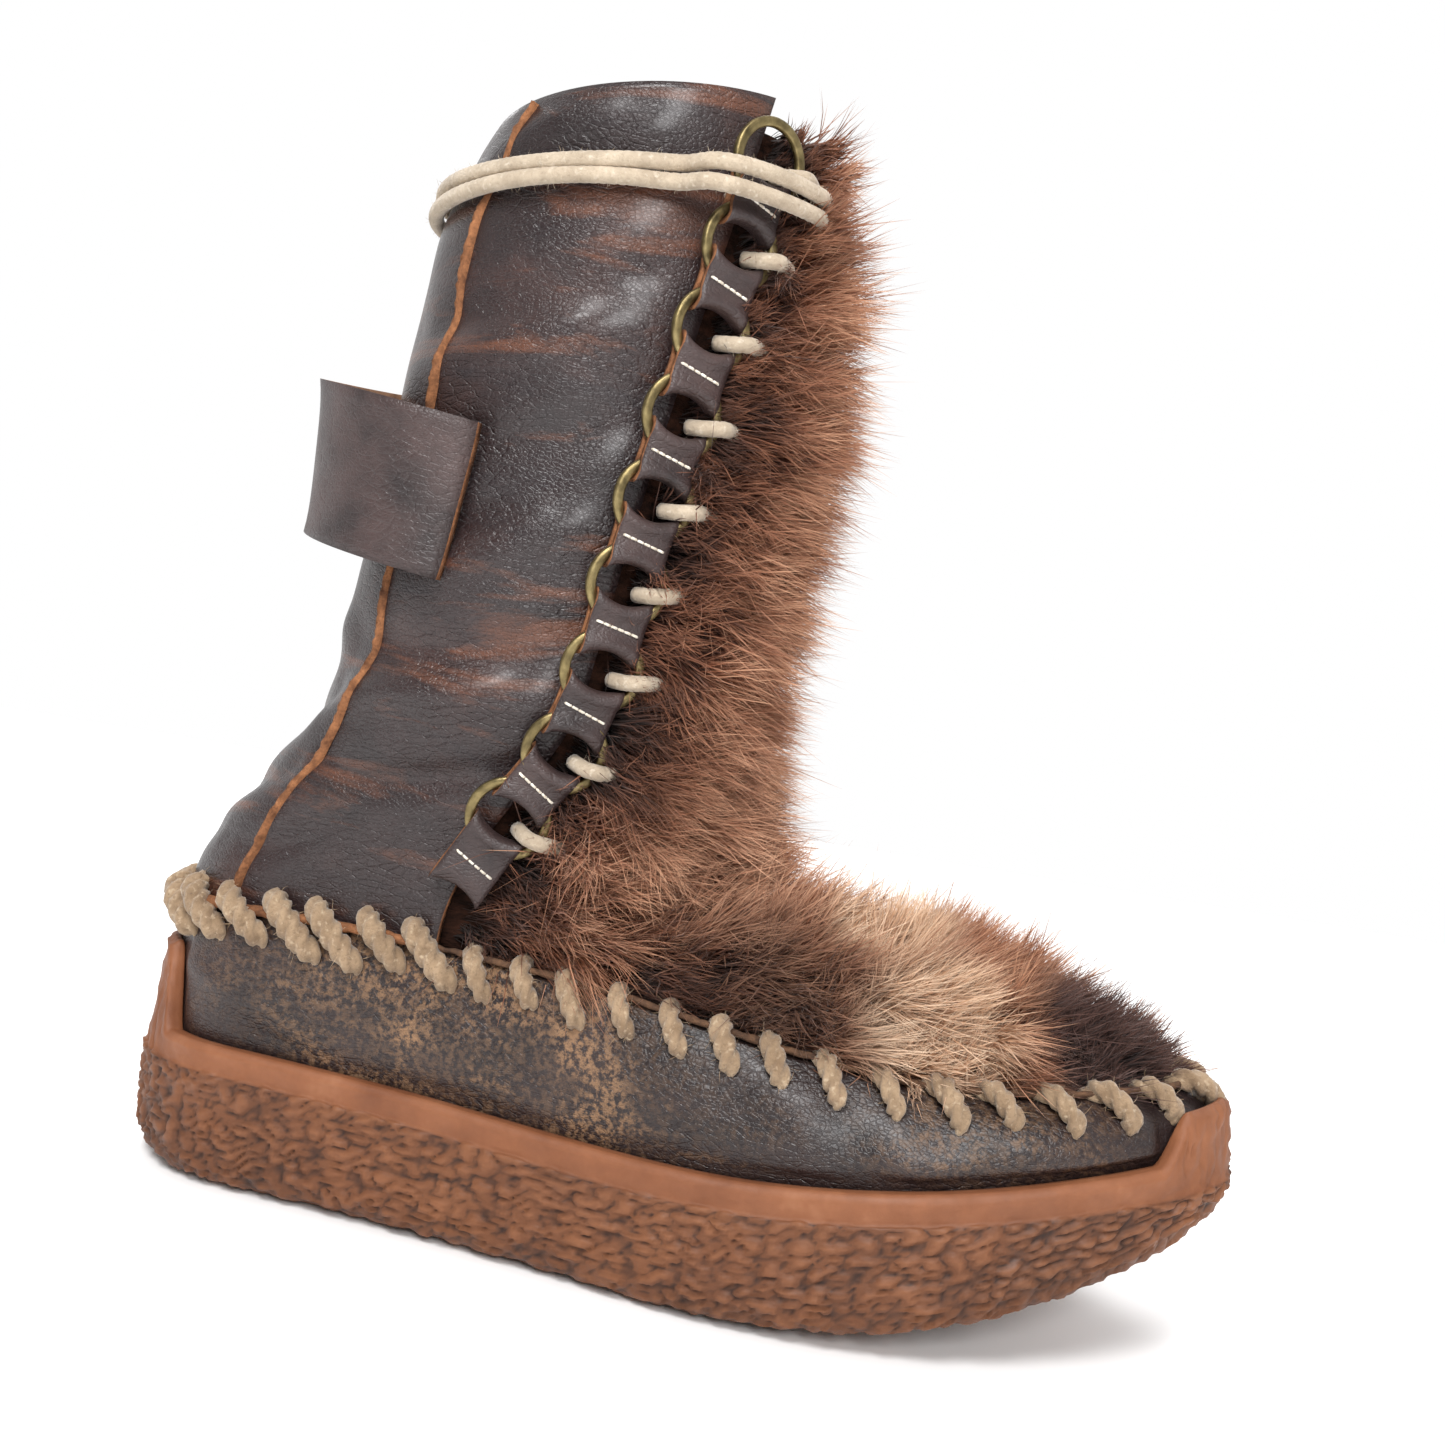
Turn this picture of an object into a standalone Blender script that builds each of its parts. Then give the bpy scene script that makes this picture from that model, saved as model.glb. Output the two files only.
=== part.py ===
"""Fur-fronted mukluk boot, right foot, with a crepe cup sole and a ring-laced throat.

Metres, +Z up, toe along +X, lateral side at -Y. The origin is on the floor
under the heel.
"""

import math

import bmesh
import bpy
import numpy as np

MM = 0.001
GAP = 0.3 * MM

# Sole
LENGTH = 285 * MM
BALL_WIDTH = 98 * MM
HEEL_BACK = -62 * MM
TOE_SHIFT = 7 * MM
CUP_WALL = 6 * MM
BAND_HEIGHT = 7 * MM
BAND_STEP = 0.9 * MM
HEEL_TAB = 22 * MM
HEEL_TAB_HALF = 27 * MM
TOE_TAB = 11 * MM
TOE_TAB_HALF = 24 * MM
TAB_SHOULDER = 9 * MM
INSOLE_THICKNESS = 3 * MM

# Upper
LEATHER = 2 * MM
COLLAR_HEIGHT = 285 * MM
COLLAR_DIP = 13 * MM
ANKLE_HEIGHT = 138 * MM
VAMP_BULGE = 1.7 * MM
SIDE_SEAM_PLACE = 0.42

# Throat hardware
RING_RADIUS = 9.3 * MM
RING_WIRE = 1.2 * MM
RING_COUNT = 9
CHAIN_START = 40 * MM
CHAIN_END_MARGIN = 7 * MM
LINK_WIDTH = 14 * MM
LINK_LEATHER = 1.4 * MM
LINK_SLACK = 0.85 * MM
RING_LIFT = RING_WIRE + LINK_SLACK + LINK_LEATHER + 3 * GAP
CHAIN_SHIFT = 1 * MM
BOTTOM_TAB = 6 * MM

# Fur
HIDE = 2 * MM
PILE = 17 * MM

# Cord
STITCH_COUNT = 46
LACE_RADIUS = 2 * MM
LACE_HEIGHT = 260 * MM
LACE_DROP = 7 * MM

# Back loop
LOOP_LOW = 168 * MM
LOOP_HIGH = 206 * MM
LOOP_PLACES = (-0.60, 0.32)
LOOP_BULGE = 15 * MM
LOOP_SLOPE = 16 * MM

SIDE_STEPS = 32
THROAT_STEP = 12
LATERAL = -1
MEDIAL = 1

# Half widths of the sole as shares of BALL_WIDTH: along, lateral, medial
PLAN = (
    (0.00, 0.335, 0.335),
    (0.12, 0.360, 0.350),
    (0.28, 0.375, 0.345),
    (0.45, 0.420, 0.370),
    (0.58, 0.470, 0.430),
    (0.70, 0.490, 0.480),
    (0.82, 0.480, 0.500),
    (1.00, 0.420, 0.460),
)

# Heights in mm: along, tread, cup floor, rim, whip-stitched seam; then the seam's inset from the outline
PROFILE = (
    (0.00, 4.0, 15.0, 36.0, 68.5, 6.6),
    (0.05, 0.8, 15.0, 36.0, 70.0, 6.6),
    (0.12, 0.0, 15.0, 36.0, 70.5, 6.8),
    (0.30, 0.0, 13.0, 35.0, 70.0, 8.5),
    (0.50, 0.0, 11.0, 33.5, 67.0, 10.5),
    (0.62, 0.6, 11.5, 34.5, 62.5, 14.0),
    (0.75, 5.5, 15.5, 39.0, 59.0, 16.5),
    (0.90, 19.0, 29.0, 47.0, 61.5, 15.0),
    (1.00, 32.0, 41.0, 53.0, 65.0, 13.5),
)

# Shaft ovals in mm: height, centre along X, half length, half width, throat edge in degrees from the back
SHAFT = (
    (60.0, 16.0, 47.0, 37.0, 126.0),
    (122.0, 25.0, 46.5, 38.5, 129.0),
    (180.0, 31.0, 46.0, 40.0, 134.0),
    (225.0, 36.5, 46.0, 41.5, 138.5),
    (256.0, 40.5, 45.5, 41.5, 142.0),
    (290.0, 51.0, 37.5, 41.0, 146.0),
)

# Centre line of the fur front in mm: row, x, z, seam share for its edge, throat share for its edge, pile share
FUR_LINE = (
    (0.00, 203.0, 61.5, 0.950, 0.0, 0.15),
    (0.06, 195.0, 64.0, 0.920, 0.0, 0.30),
    (0.25, 163.0, 71.5, 0.800, 0.0, 0.75),
    (0.40, 122.0, 80.0, 0.570, 0.0, 0.95),
    (0.50, 93.0, 92.0, 0.330, 0.0, 0.80),
    (0.58, 81.0, 114.0, 0.330, 0.14, 1.05),
    (0.70, 79.0, 158.0, 0.330, 0.385, 1.20),
    (0.85, 84.0, 220.0, 0.330, 0.685, 1.20),
    (1.00, 87.5, 277.0, 0.330, 0.965, 0.60),
)


def columns(table):
    return np.array(table, float).T


def smooth(x, xs, ys):
    """Cubic curve through a table's points, held flat beyond its ends."""
    slopes = np.gradient(ys, xs)
    x = np.asarray(x, float)
    i = np.clip(np.searchsorted(xs, x) - 1, 0, len(xs) - 2)
    step = xs[i + 1] - xs[i]
    t = np.clip((x - xs[i]) / step, 0, 1)
    rise = (2 * t**3 - 3 * t**2 + 1) * ys[i] + (3 * t**2 - 2 * t**3) * ys[i + 1]
    lean = (t**3 - 2 * t**2 + t) * slopes[i] + (t**3 - t**2) * slopes[i + 1]
    return rise + lean * step


def ease(t):
    t = np.clip(t, 0, 1)
    return t * t * (3 - 2 * t)


def mix(a, b, t):
    return a * (1 - t) + b * t


def unit(v):
    v = np.asarray(v, float)
    return v / np.maximum(np.linalg.norm(v, axis=-1, keepdims=True), 1e-12)


# The sole's outline, as a closed loop of stations: heel, lateral side, toe, medial side

def side_shares():
    return (1 - np.cos(np.linspace(0, math.pi, SIDE_STEPS + 1))) / 2


def loop_shares():
    side = side_shares()
    return np.concatenate([side, side[-2:0:-1]])


def loop_signs():
    signs = np.full(2 * SIDE_STEPS, float(LATERAL))
    signs[SIDE_STEPS + 1 :] = MEDIAL
    return signs


def end_round(share, toe_span):
    heel_span = 0.13
    power = 2.1
    heel = np.clip(1 - share / heel_span, 0, 1)
    toe = np.clip(1 - (1 - share) / toe_span, 0, 1)
    return ((1 - heel**power) * (1 - toe**power)) ** (1 / power)


def half_width(share, sign):
    along, lateral, medial = columns(PLAN)
    table = lateral if sign < 0 else medial
    toe_span = 0.30 if sign < 0 else 0.22
    return smooth(share, along, table) * BALL_WIDTH * end_round(share, toe_span)


def outline():
    """Points and outward directions of the sole's plan."""
    share = loop_shares()
    sign = loop_signs()
    width = np.where(sign < 0, half_width(share, LATERAL), half_width(share, MEDIAL))
    centre = TOE_SHIFT * ease((share - 0.5) / 0.5)
    points = np.stack([HEEL_BACK + share * LENGTH, centre + sign * width], axis=1)
    along = np.roll(points, -1, axis=0) - np.roll(points, 1, axis=0)
    outward = unit(np.stack([along[:, 1], -along[:, 0]], axis=1))
    return points, outward


def profile(share, column):
    table = columns(PROFILE)
    return smooth(share, table[0], table[column]) * MM


def tread(share):
    return np.maximum(profile(share, 1), 0.0)


def cup_floor(share):
    return profile(share, 2)


def rim(share):
    return profile(share, 3)


def seam_height(share):
    return profile(share, 4)


def seam_inset(share):
    return profile(share, 5)


def tab_share():
    """1 on the raised tabs at heel and toe, 0 between them, for each station."""
    points, _ = outline()
    steps = np.linalg.norm(np.roll(points, -1, axis=0) - points, axis=1)
    arc = np.concatenate([[0], np.cumsum(steps)])[:-1]
    total = steps.sum()
    from_heel = np.minimum(arc, total - arc)
    from_toe = np.abs(arc - arc[SIDE_STEPS])
    heel = ease((HEEL_TAB_HALF + TAB_SHOULDER - from_heel) / TAB_SHOULDER)
    toe = ease((TOE_TAB_HALF + TAB_SHOULDER - from_toe) / TAB_SHOULDER)
    return heel, toe


def ring_at(inset, height):
    """A closed loop of points, a distance inside the outline and at a height."""
    points, outward = outline()
    inset = np.broadcast_to(inset, len(points))
    height = np.broadcast_to(height, len(points))
    flat = points - outward * inset[:, None]
    return np.column_stack([flat, height])


# Mesh helpers

def new_material(name, colour, roughness, metallic=0.0):
    material = bpy.data.materials.new(name)
    material.use_nodes = True
    shader = material.node_tree.nodes["Principled BSDF"]
    shader.inputs["Base Color"].default_value = (*colour, 1.0)
    shader.inputs["Roughness"].default_value = roughness
    shader.inputs["Metallic"].default_value = metallic
    material.diffuse_color = (*colour, 1.0)
    return material


def add_mesh(name, points, faces, material, smooth_shaded=True):
    mesh = bpy.data.meshes.new(name)
    mesh.from_pydata([tuple(map(float, p)) for p in points], [], faces)
    builder = bmesh.new()
    builder.from_mesh(mesh)
    bmesh.ops.recalc_face_normals(builder, faces=builder.faces)
    builder.to_mesh(mesh)
    builder.free()
    mesh.materials.append(material)
    for polygon in mesh.polygons:
        polygon.use_smooth = smooth_shaded
    obj = bpy.data.objects.new(name, mesh)
    boot.objects.link(obj)
    obj.parent = root
    return obj


def band_faces(first, second, count, closed=True):
    """Quads between two rows of points that start at these indices."""
    last = count if closed else count - 1
    return [
        (first + i, first + (i + 1) % count, second + (i + 1) % count, second + i)
        for i in range(last)
    ]


def loop_cap(start):
    """Fills a station loop with quads from side to side."""
    count = 2 * SIDE_STEPS
    faces = [(start, start + 1, start + count - 1)]
    for i in range(1, SIDE_STEPS - 1):
        faces.append((start + i, start + i + 1, start + count - i - 1, start + count - i))
    faces.append((start + SIDE_STEPS - 1, start + SIDE_STEPS, start + SIDE_STEPS + 1))
    return faces


def add_cord(name, points, radius, material, resolution=2, closed=False):
    curve = bpy.data.curves.new(name, "CURVE")
    curve.dimensions = "3D"
    curve.bevel_depth = radius
    curve.bevel_resolution = resolution
    curve.use_fill_caps = not closed
    spline = curve.splines.new("POLY")
    spline.points.add(len(points) - 1)
    for target, point in zip(spline.points, points):
        target.co = (*map(float, point), 1.0)
    spline.use_cyclic_u = closed
    spline.use_smooth = True
    curve.materials.append(material)
    obj = bpy.data.objects.new(name, curve)
    boot.objects.link(obj)
    obj.parent = root
    return obj


# Sole and insole

def make_sole(material):
    share = loop_shares()
    heel, toe = tab_share()
    low = tread(share)
    top = rim(share) + HEEL_TAB * heel + TOE_TAB * toe
    roll = 1 + 0.5 * ease((share - 0.8) / 0.2)
    lean = 2.2 * MM * heel + 2.6 * MM * toe
    rows = [
        ring_at(10 * MM * roll, low),
        ring_at(3.2 * MM * roll, low + 1.8 * MM * roll),
        ring_at(0.6 * MM * roll, low + 7 * MM * roll),
        ring_at(0.0, mix(low + 7 * MM * roll, rim(share) - BAND_HEIGHT, 0.5)),
        ring_at(0.0, rim(share) - BAND_HEIGHT),
        ring_at(BAND_STEP, rim(share) - BAND_HEIGHT + 0.5 * MM),
        ring_at(BAND_STEP + lean * 0.8, top - 1.6 * MM),
        ring_at(BAND_STEP + lean + 1.2 * MM, top),
        ring_at(CUP_WALL - 0.4 * MM, top - 0.2 * MM),
        ring_at(CUP_WALL, top - 1.2 * MM),
        ring_at(CUP_WALL, cup_floor(share)),
    ]
    count = len(share)
    faces = loop_cap(0) + loop_cap(count * (len(rows) - 1))
    for i in range(len(rows) - 1):
        faces += band_faces(i * count, (i + 1) * count, count)
    return add_mesh("sole", np.concatenate(rows), faces, material)


def make_insole(material):
    share = loop_shares()
    inset = CUP_WALL + LEATHER + 2 * GAP
    low = cup_floor(share) + GAP
    rows = [ring_at(inset, low), ring_at(inset, low + INSOLE_THICKNESS)]
    count = len(share)
    faces = loop_cap(0) + loop_cap(count) + band_faces(0, count, count)
    return add_mesh("insole", np.concatenate(rows), faces, material)


# Upper: side wall of the foot, and the shaft that rises from its rear part

def vamp_rows():
    """Outer surface of the side wall, from inside the cup up to the seam."""
    share = loop_shares()
    heel, toe = tab_share()
    free = 1 - np.clip(8 * (heel + toe), 0, 1)
    free = np.minimum(free, np.minimum(np.roll(free, 1), np.roll(free, -1)))
    inside = CUP_WALL + GAP
    low = rim(share)
    high = seam_height(share)
    seam = seam_inset(share)
    bulge = VAMP_BULGE * free
    return [
        ring_at(inside, cup_floor(share) + GAP),
        ring_at(inside, low + 1.2 * MM),
        ring_at(inside - 0.7 * bulge, mix(low, high, 0.20)),
        ring_at(mix(inside, seam, 0.12) - bulge, mix(low, high, 0.42)),
        ring_at(mix(inside, seam, 0.45) - 0.6 * bulge, mix(low, high, 0.76)),
        ring_at(seam, high),
    ]


def side_columns():
    """Seam points of one side from heel to throat, and their shares of that arc."""
    seam = vamp_rows()[-1]
    found = {}
    for sign in (LATERAL, MEDIAL):
        order = np.arange(THROAT_STEP + 1)
        index = order if sign < 0 else (-order) % len(seam)
        points = seam[index]
        arc = np.concatenate([[0], np.cumsum(np.linalg.norm(np.diff(points, axis=0), axis=1))])
        found[sign] = (points, arc / arc[-1])
    return found


SIDES = {}


def oval(height, place):
    """Point of the shaft's oval: place runs from 0 at the back to -1 and 1 at the throat edges."""
    level, centre, length, width, edge = columns(SHAFT)
    z = height / MM
    angle = math.radians(float(smooth(z, level, edge))) * place
    x = smooth(z, level, centre) - smooth(z, level, length) * math.cos(angle)
    y = smooth(z, level, width) * math.sin(angle)
    return np.array([x * MM, y * MM, height])


def collar_height(place):
    return COLLAR_HEIGHT - COLLAR_DIP * (1 - abs(place))


def shaft_point(place, rise):
    """Outer surface of the shaft: place as in oval, rise 0 at the seam and 1 at the collar."""
    sign = LATERAL if place < 0 else MEDIAL
    points, shares = SIDES[sign]
    base = np.array([np.interp(abs(place), shares, points[:, i]) for i in range(3)])
    height = mix(base[2], collar_height(place), rise)
    blend = ease((height - base[2]) / (ANKLE_HEIGHT - base[2]))
    point = mix(np.array([base[0], base[1], height]), oval(height, place), blend)
    return point


def shaft_normal(place, rise):
    step = 0.01
    across = shaft_point(place + step, rise) - shaft_point(place - step, rise)
    if abs(place) + step > 1:
        inner = place - math.copysign(step, place)
        across = (shaft_point(place, rise) - shaft_point(inner, rise)) * math.copysign(1, place)
    low = max(rise - step, 0)
    high = min(rise + step, 1)
    up = shaft_point(place, high) - shaft_point(place, low)
    # Across runs from the lateral side round the back to the medial side
    return unit(np.cross(up, across))


def at_height(place, height):
    sign = LATERAL if place < 0 else MEDIAL
    points, shares = SIDES[sign]
    base = np.interp(abs(place), shares, points[:, 2])
    return (height - base) / (collar_height(place) - base)


def lifted(place, height, lift):
    rise = at_height(place, height)
    return shaft_point(place, rise) + shaft_normal(place, rise) * lift


def make_upper(material):
    rows = vamp_rows()
    count = len(rows[0])
    points = [p for row in rows for p in row]
    faces = []
    for i in range(len(rows) - 1):
        faces += band_faces(i * count, (i + 1) * count, count)
    places = []
    for sign in (LATERAL, MEDIAL):
        places += [(sign * share) for share in SIDES[sign][1][1:]]
    order = sorted(places + [0.0])
    seam_start = (len(rows) - 1) * count
    index = list(range(THROAT_STEP, -1, -1)) + [count - i for i in range(1, THROAT_STEP + 1)]
    below = [seam_start + i for i in index]
    rises = np.linspace(0, 1, 11)[1:]
    for rise in rises:
        start = len(points)
        points += [shaft_point(place, rise) for place in order]
        here = list(range(start, start + len(order)))
        for i in range(len(order) - 1):
            faces.append((below[i], below[i + 1], here[i + 1], here[i]))
        below = here
    obj = add_mesh("upper", points, faces, material)
    wall = obj.modifiers.new("wall", "SOLIDIFY")
    wall.thickness = LEATHER
    wall.offset = -1
    wall.use_even_offset = True
    wall.use_quality_normals = True
    return obj


# Fur front: plug over the foot and tongue in the throat, one hide

def seam_at(share, sign):
    """Seam point and outward direction at a share of the length."""
    points, outward = outline()
    seam = ring_at(seam_inset(loop_shares()), seam_height(loop_shares()))
    order = np.arange(SIDE_STEPS + 1)
    index = order if sign < 0 else (-order) % len(seam)
    side = side_shares()
    point = np.array([np.interp(share, side, seam[index, i]) for i in range(3)])
    out = np.array([np.interp(share, side, outward[index, i]) for i in range(2)])
    return point, unit(np.array([out[0], out[1], 0.0]))


def fur_edge(row, sign):
    table = columns(FUR_LINE)
    along = float(np.interp(row, table[0], table[3]))
    rise = float(np.interp(row, table[0], table[4]))
    inward = LEATHER + 4 * GAP
    if rise <= 0:
        point, out = seam_at(along, sign)
        return point - out * (inward + 1.0 * MM) - np.array([0, 0, 3.0 * MM])
    place = sign * 0.985
    return shaft_point(place, rise) - shaft_normal(place, rise) * inward


def fur_skin(row, across):
    """Point of the hide's outer face: across runs from -1 to 1."""
    table = columns(FUR_LINE)
    centre = np.array([smooth(row, table[0], table[1]), 0.0, smooth(row, table[0], table[2])]) * MM
    lateral = fur_edge(row, LATERAL)
    medial = fur_edge(row, MEDIAL)
    middle = (lateral + medial) / 2
    centre[1] = middle[1]
    half = math.radians(float(np.interp(row, [0, 0.4, 0.6, 1.0], [42, 55, 52, 38])))
    reach = math.sin(abs(across) * half) / math.sin(half)
    rise = (math.cos(across * half) - math.cos(half)) / (1 - math.cos(half))
    edge = lateral if across < 0 else medial
    return middle + (centre - middle) * rise + (edge - middle) * reach


PLUG_ROWS = 14
GROOVE_HALF = 3.4 * MM
GROOVE_WALL = 1.2 * MM
FUR_COLUMNS = 13
CHAIN_MARGIN = 17 * MM
LACE_PATH_MARGIN = 16.5 * MM
LACE_MARGIN = LACE_PATH_MARGIN + 8.5 * MM


def nearest_fur_row(height):
    rows = np.linspace(0.5, 1, 151)
    edges = np.array([fur_edge(r, LATERAL)[2] for r in rows])
    return float(rows[np.argmin(np.abs(edges - height))])


def crossing_rows():
    """Rows of the fur front that the lace presses down, one for every second pair of rings."""
    lengths = chain_lengths()[:-1:2]
    return [nearest_fur_row(throat_frame(LATERAL, length)[0][2]) for length in lengths]


def fur_rows():
    """Rows from toe to collar, whether each is pressed down, and the number of crossings below it."""
    pressed = crossing_rows()
    rows = [(r, False, 0) for r in np.linspace(0, 0.5, PLUG_ROWS)]
    rows.append(((0.5 + pressed[0]) / 2, False, 0))
    for i, row in enumerate(pressed):
        ahead = fur_skin(row + 0.005, 0.0) - fur_skin(row - 0.005, 0.0)
        per_length = 0.01 / np.linalg.norm(ahead)
        flat = GROOVE_HALF * per_length
        wall = (GROOVE_HALF + GROOVE_WALL) * per_length
        rows.append((row - wall, False, i))
        rows.append((row - flat, True, i))
        rows.append((row + flat, True, i + 1))
        rows.append((row + wall, False, i + 1))
        if i + 1 < len(pressed):
            rows.append(((row + pressed[i + 1]) / 2, False, i + 1))
    cinched = nearest_fur_row(LACE_HEIGHT + LACE_RADIUS)
    last = len(pressed)
    rows.append((mix(pressed[-1], cinched, 0.5), False, last))
    rows.append((cinched, True, last))
    rows.append((1.0, False, last))
    return [np.array(column) for column in zip(*rows)]


def lace_side(crossings_below):
    """Side on which the lace runs up past a row, to reach the next crossing."""
    return -1 if crossings_below % 2 == 0 else 1


def make_fur(material):
    rng = np.random.default_rng(7)
    table = columns(FUR_LINE)
    rows, pressed, below = fur_rows()
    across = np.linspace(-1, 1, FUR_COLUMNS)
    skin = np.array([[fur_skin(r, a) for a in across] for r in rows])
    along = np.gradient(skin, axis=0)
    side = np.gradient(skin, axis=1)
    normal = unit(np.cross(side, along))
    if normal[len(rows) // 2, FUR_COLUMNS // 2, 0] < 0:
        normal = -normal
    steps = np.linalg.norm(np.diff(skin, axis=1), axis=2)
    arc = np.concatenate([np.zeros((len(rows), 1)), np.cumsum(steps, axis=1)], axis=1)
    to_edge = np.minimum(arc, arc[:, -1:] - arc)
    share_of_groove = np.where(pressed, 0.0, 1.0)
    beside = np.zeros(len(rows), bool)
    beside[1:-1] = (pressed[2:] | pressed[:-2]) & ~pressed[1:-1]
    share_of_groove[beside] = 0.86
    top = np.empty_like(skin)
    for i, row in enumerate(rows):
        margins = [float(np.interp(row, [0, 0.40, 0.5], [8 * MM, 9 * MM, m])) for m in (CHAIN_MARGIN, LACE_MARGIN)]
        share = float(np.interp(row, table[0], table[5]))
        height = skin[i, FUR_COLUMNS // 2, 2]
        cinch = 1 - 0.8 * math.exp(-(((height - LACE_HEIGHT) / (16 * MM)) ** 2))
        lean = 0.35 if row < 0.45 else 0.0
        for j in range(FUR_COLUMNS):
            beside_lace = across[j] * lace_side(below[i]) > 0
            margin = margins[1] if beside_lace or row < 0.56 else margins[0]
            rise = float(ease((to_edge[i, j] - margin) / (8 * MM)))
            lock = 1.0 + (0.16 if (i + j) % 2 else -0.16) + 0.1 * rng.standard_normal()
            pile = PILE * share * cinch * rise * np.clip(lock, 0.65, 1.25)
            pile *= share_of_groove[i]
            top[i, j] = skin[i, j] + normal[i, j] * pile - unit(along[i, j]) * lean * pile
    low = skin - normal * HIDE
    points = np.concatenate([top.reshape(-1, 3), low.reshape(-1, 3)])
    width = FUR_COLUMNS
    under = len(rows) * width
    faces = []
    for i in range(len(rows) - 1):
        for j in range(width - 1):
            a = i * width + j
            faces.append((a, a + 1, a + width + 1, a + width))
            faces.append((under + a, under + a + width, under + a + width + 1, under + a + 1))
    for i in range(len(rows) - 1):
        for j in (0, width - 1):
            a = i * width + j
            faces.append((a, a + width, under + a + width, under + a))
    for i in (0, len(rows) - 1):
        for j in range(width - 1):
            a = i * width + j
            faces.append((a, a + 1, under + a + 1, under + a))
    return add_mesh("fur_front", points, faces, material)


# Ring chains along the throat

def throat_arc(sign):
    """Lengths up a throat edge from the seam, and the rise at each."""
    rises = np.linspace(0, 1, 121)
    points = np.array([shaft_point(sign, r) for r in rises])
    arc = np.concatenate([[0], np.cumsum(np.linalg.norm(np.diff(points, axis=0), axis=1))])
    return arc, rises


def throat_frame(sign, length):
    """Point on the throat edge, and the directions up it, toward the fur and out of the leather."""
    arc, rises = throat_arc(sign)
    reach = 20 * MM
    low, here, high = (float(np.interp(length + d, arc, rises)) for d in (-reach, 0, reach))
    point = shaft_point(sign, here)
    up = unit(shaft_point(sign, high) - shaft_point(sign, low))
    normal = unit(sum(shaft_normal(sign, r) for r in (low, here, high)))
    normal = unit(normal - up * float(normal @ up))
    front = unit(np.cross(up, normal)) * -sign
    return point, up, front, normal


def chain_lengths():
    total = throat_arc(LATERAL)[0][-1]
    last = total - CHAIN_END_MARGIN - RING_RADIUS
    return np.linspace(CHAIN_START, last, RING_COUNT)


def ring_centre(sign, length):
    point, _, front, normal = throat_frame(sign, length)
    return point + normal * RING_LIFT + front * CHAIN_SHIFT


def make_ring(name, sign, length, material):
    centre = ring_centre(sign, length)
    _, up, front, normal = throat_frame(sign, length)
    points = []
    around = 12
    section = 4
    for i in range(around):
        angle = 2 * math.pi * i / around
        radial = up * math.cos(angle) + front * math.sin(angle)
        for j in range(section):
            turn = 2 * math.pi * (j + 0.5) / section
            out = radial * math.cos(turn) + normal * math.sin(turn)
            points.append(centre + radial * RING_RADIUS + out * RING_WIRE)
    faces = []
    for i in range(around):
        faces += band_faces(i * section, (i + 1) % around * section, section)
    return add_mesh(name, points, faces, material)


def make_link(name, frame, reach_down, reach_up, material):
    """Folded strap round the bars of the rings below and above it."""
    centre, up, front, normal = frame
    inner = RING_WIRE + LINK_SLACK
    outer = inner + LINK_LEATHER
    slack = 1.7 * MM
    wall = 1.25 * LINK_LEATHER
    points = []
    for side in (-0.5, 0, 0.5):
        b = side * LINK_WIDTH
        bow = RING_RADIUS - math.sqrt(RING_RADIUS**2 - b * b)
        down = reach_down + bow + inner + slack
        high = reach_up + bow + inner + slack
        loops = (
            (down + wall, high + wall, outer, 2.0 * MM),
            (down, high, inner, 1.2 * MM),
        )
        for below, above, half, corner in loops:
            section = (
                (-below, 0),
                (-below + corner, -half),
                (above - corner, -half),
                (above, 0),
                (above - corner, half),
                (-below + corner, half),
            )
            for along, out in section:
                points.append(centre + up * along + front * b + normal * out)
    faces = []
    sections = 3
    size = 6
    for i in range(sections - 1):
        for layer in (0, 1):
            first = (2 * i + layer) * size
            faces += band_faces(first, first + 2 * size, size)
    for i in (0, sections - 1):
        faces += band_faces(2 * i * size, (2 * i + 1) * size, size)
    return add_mesh(name, points, faces, material, smooth_shaded=False)


def link_frame(sign, first, second):
    """Frame between two ring centres, and half the gap between the rings' bars."""
    low = ring_centre(sign, first)
    high = ring_centre(sign, second)
    up = unit(high - low)
    _, _, _, normal = throat_frame(sign, (first + second) / 2)
    normal = unit(normal - up * float(normal @ up))
    front = unit(np.cross(up, normal)) * -sign
    half = (np.linalg.norm(high - low) - 2 * RING_RADIUS) / 2
    return ((low + high) / 2, up, front, normal), half


def make_chain(sign, label, brass, leather):
    lengths = chain_lengths()
    for i, length in enumerate(lengths):
        make_ring(f"ring_{label}_{i + 1}", sign, length, brass)
        if i:
            frame, half = link_frame(sign, lengths[i - 1], length)
            make_link(f"link_{label}_{i + 1}", frame, half, half, leather)
    _, up, front, normal = throat_frame(sign, lengths[0])
    half = (lengths[1] - lengths[0]) / 2 - RING_RADIUS
    centre = ring_centre(sign, lengths[0]) - up * (RING_RADIUS + half)
    make_link(f"link_{label}_1", (centre, up, front, normal), BOTTOM_TAB, half, leather)


# Whip stitch round the foot, over the seam

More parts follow.
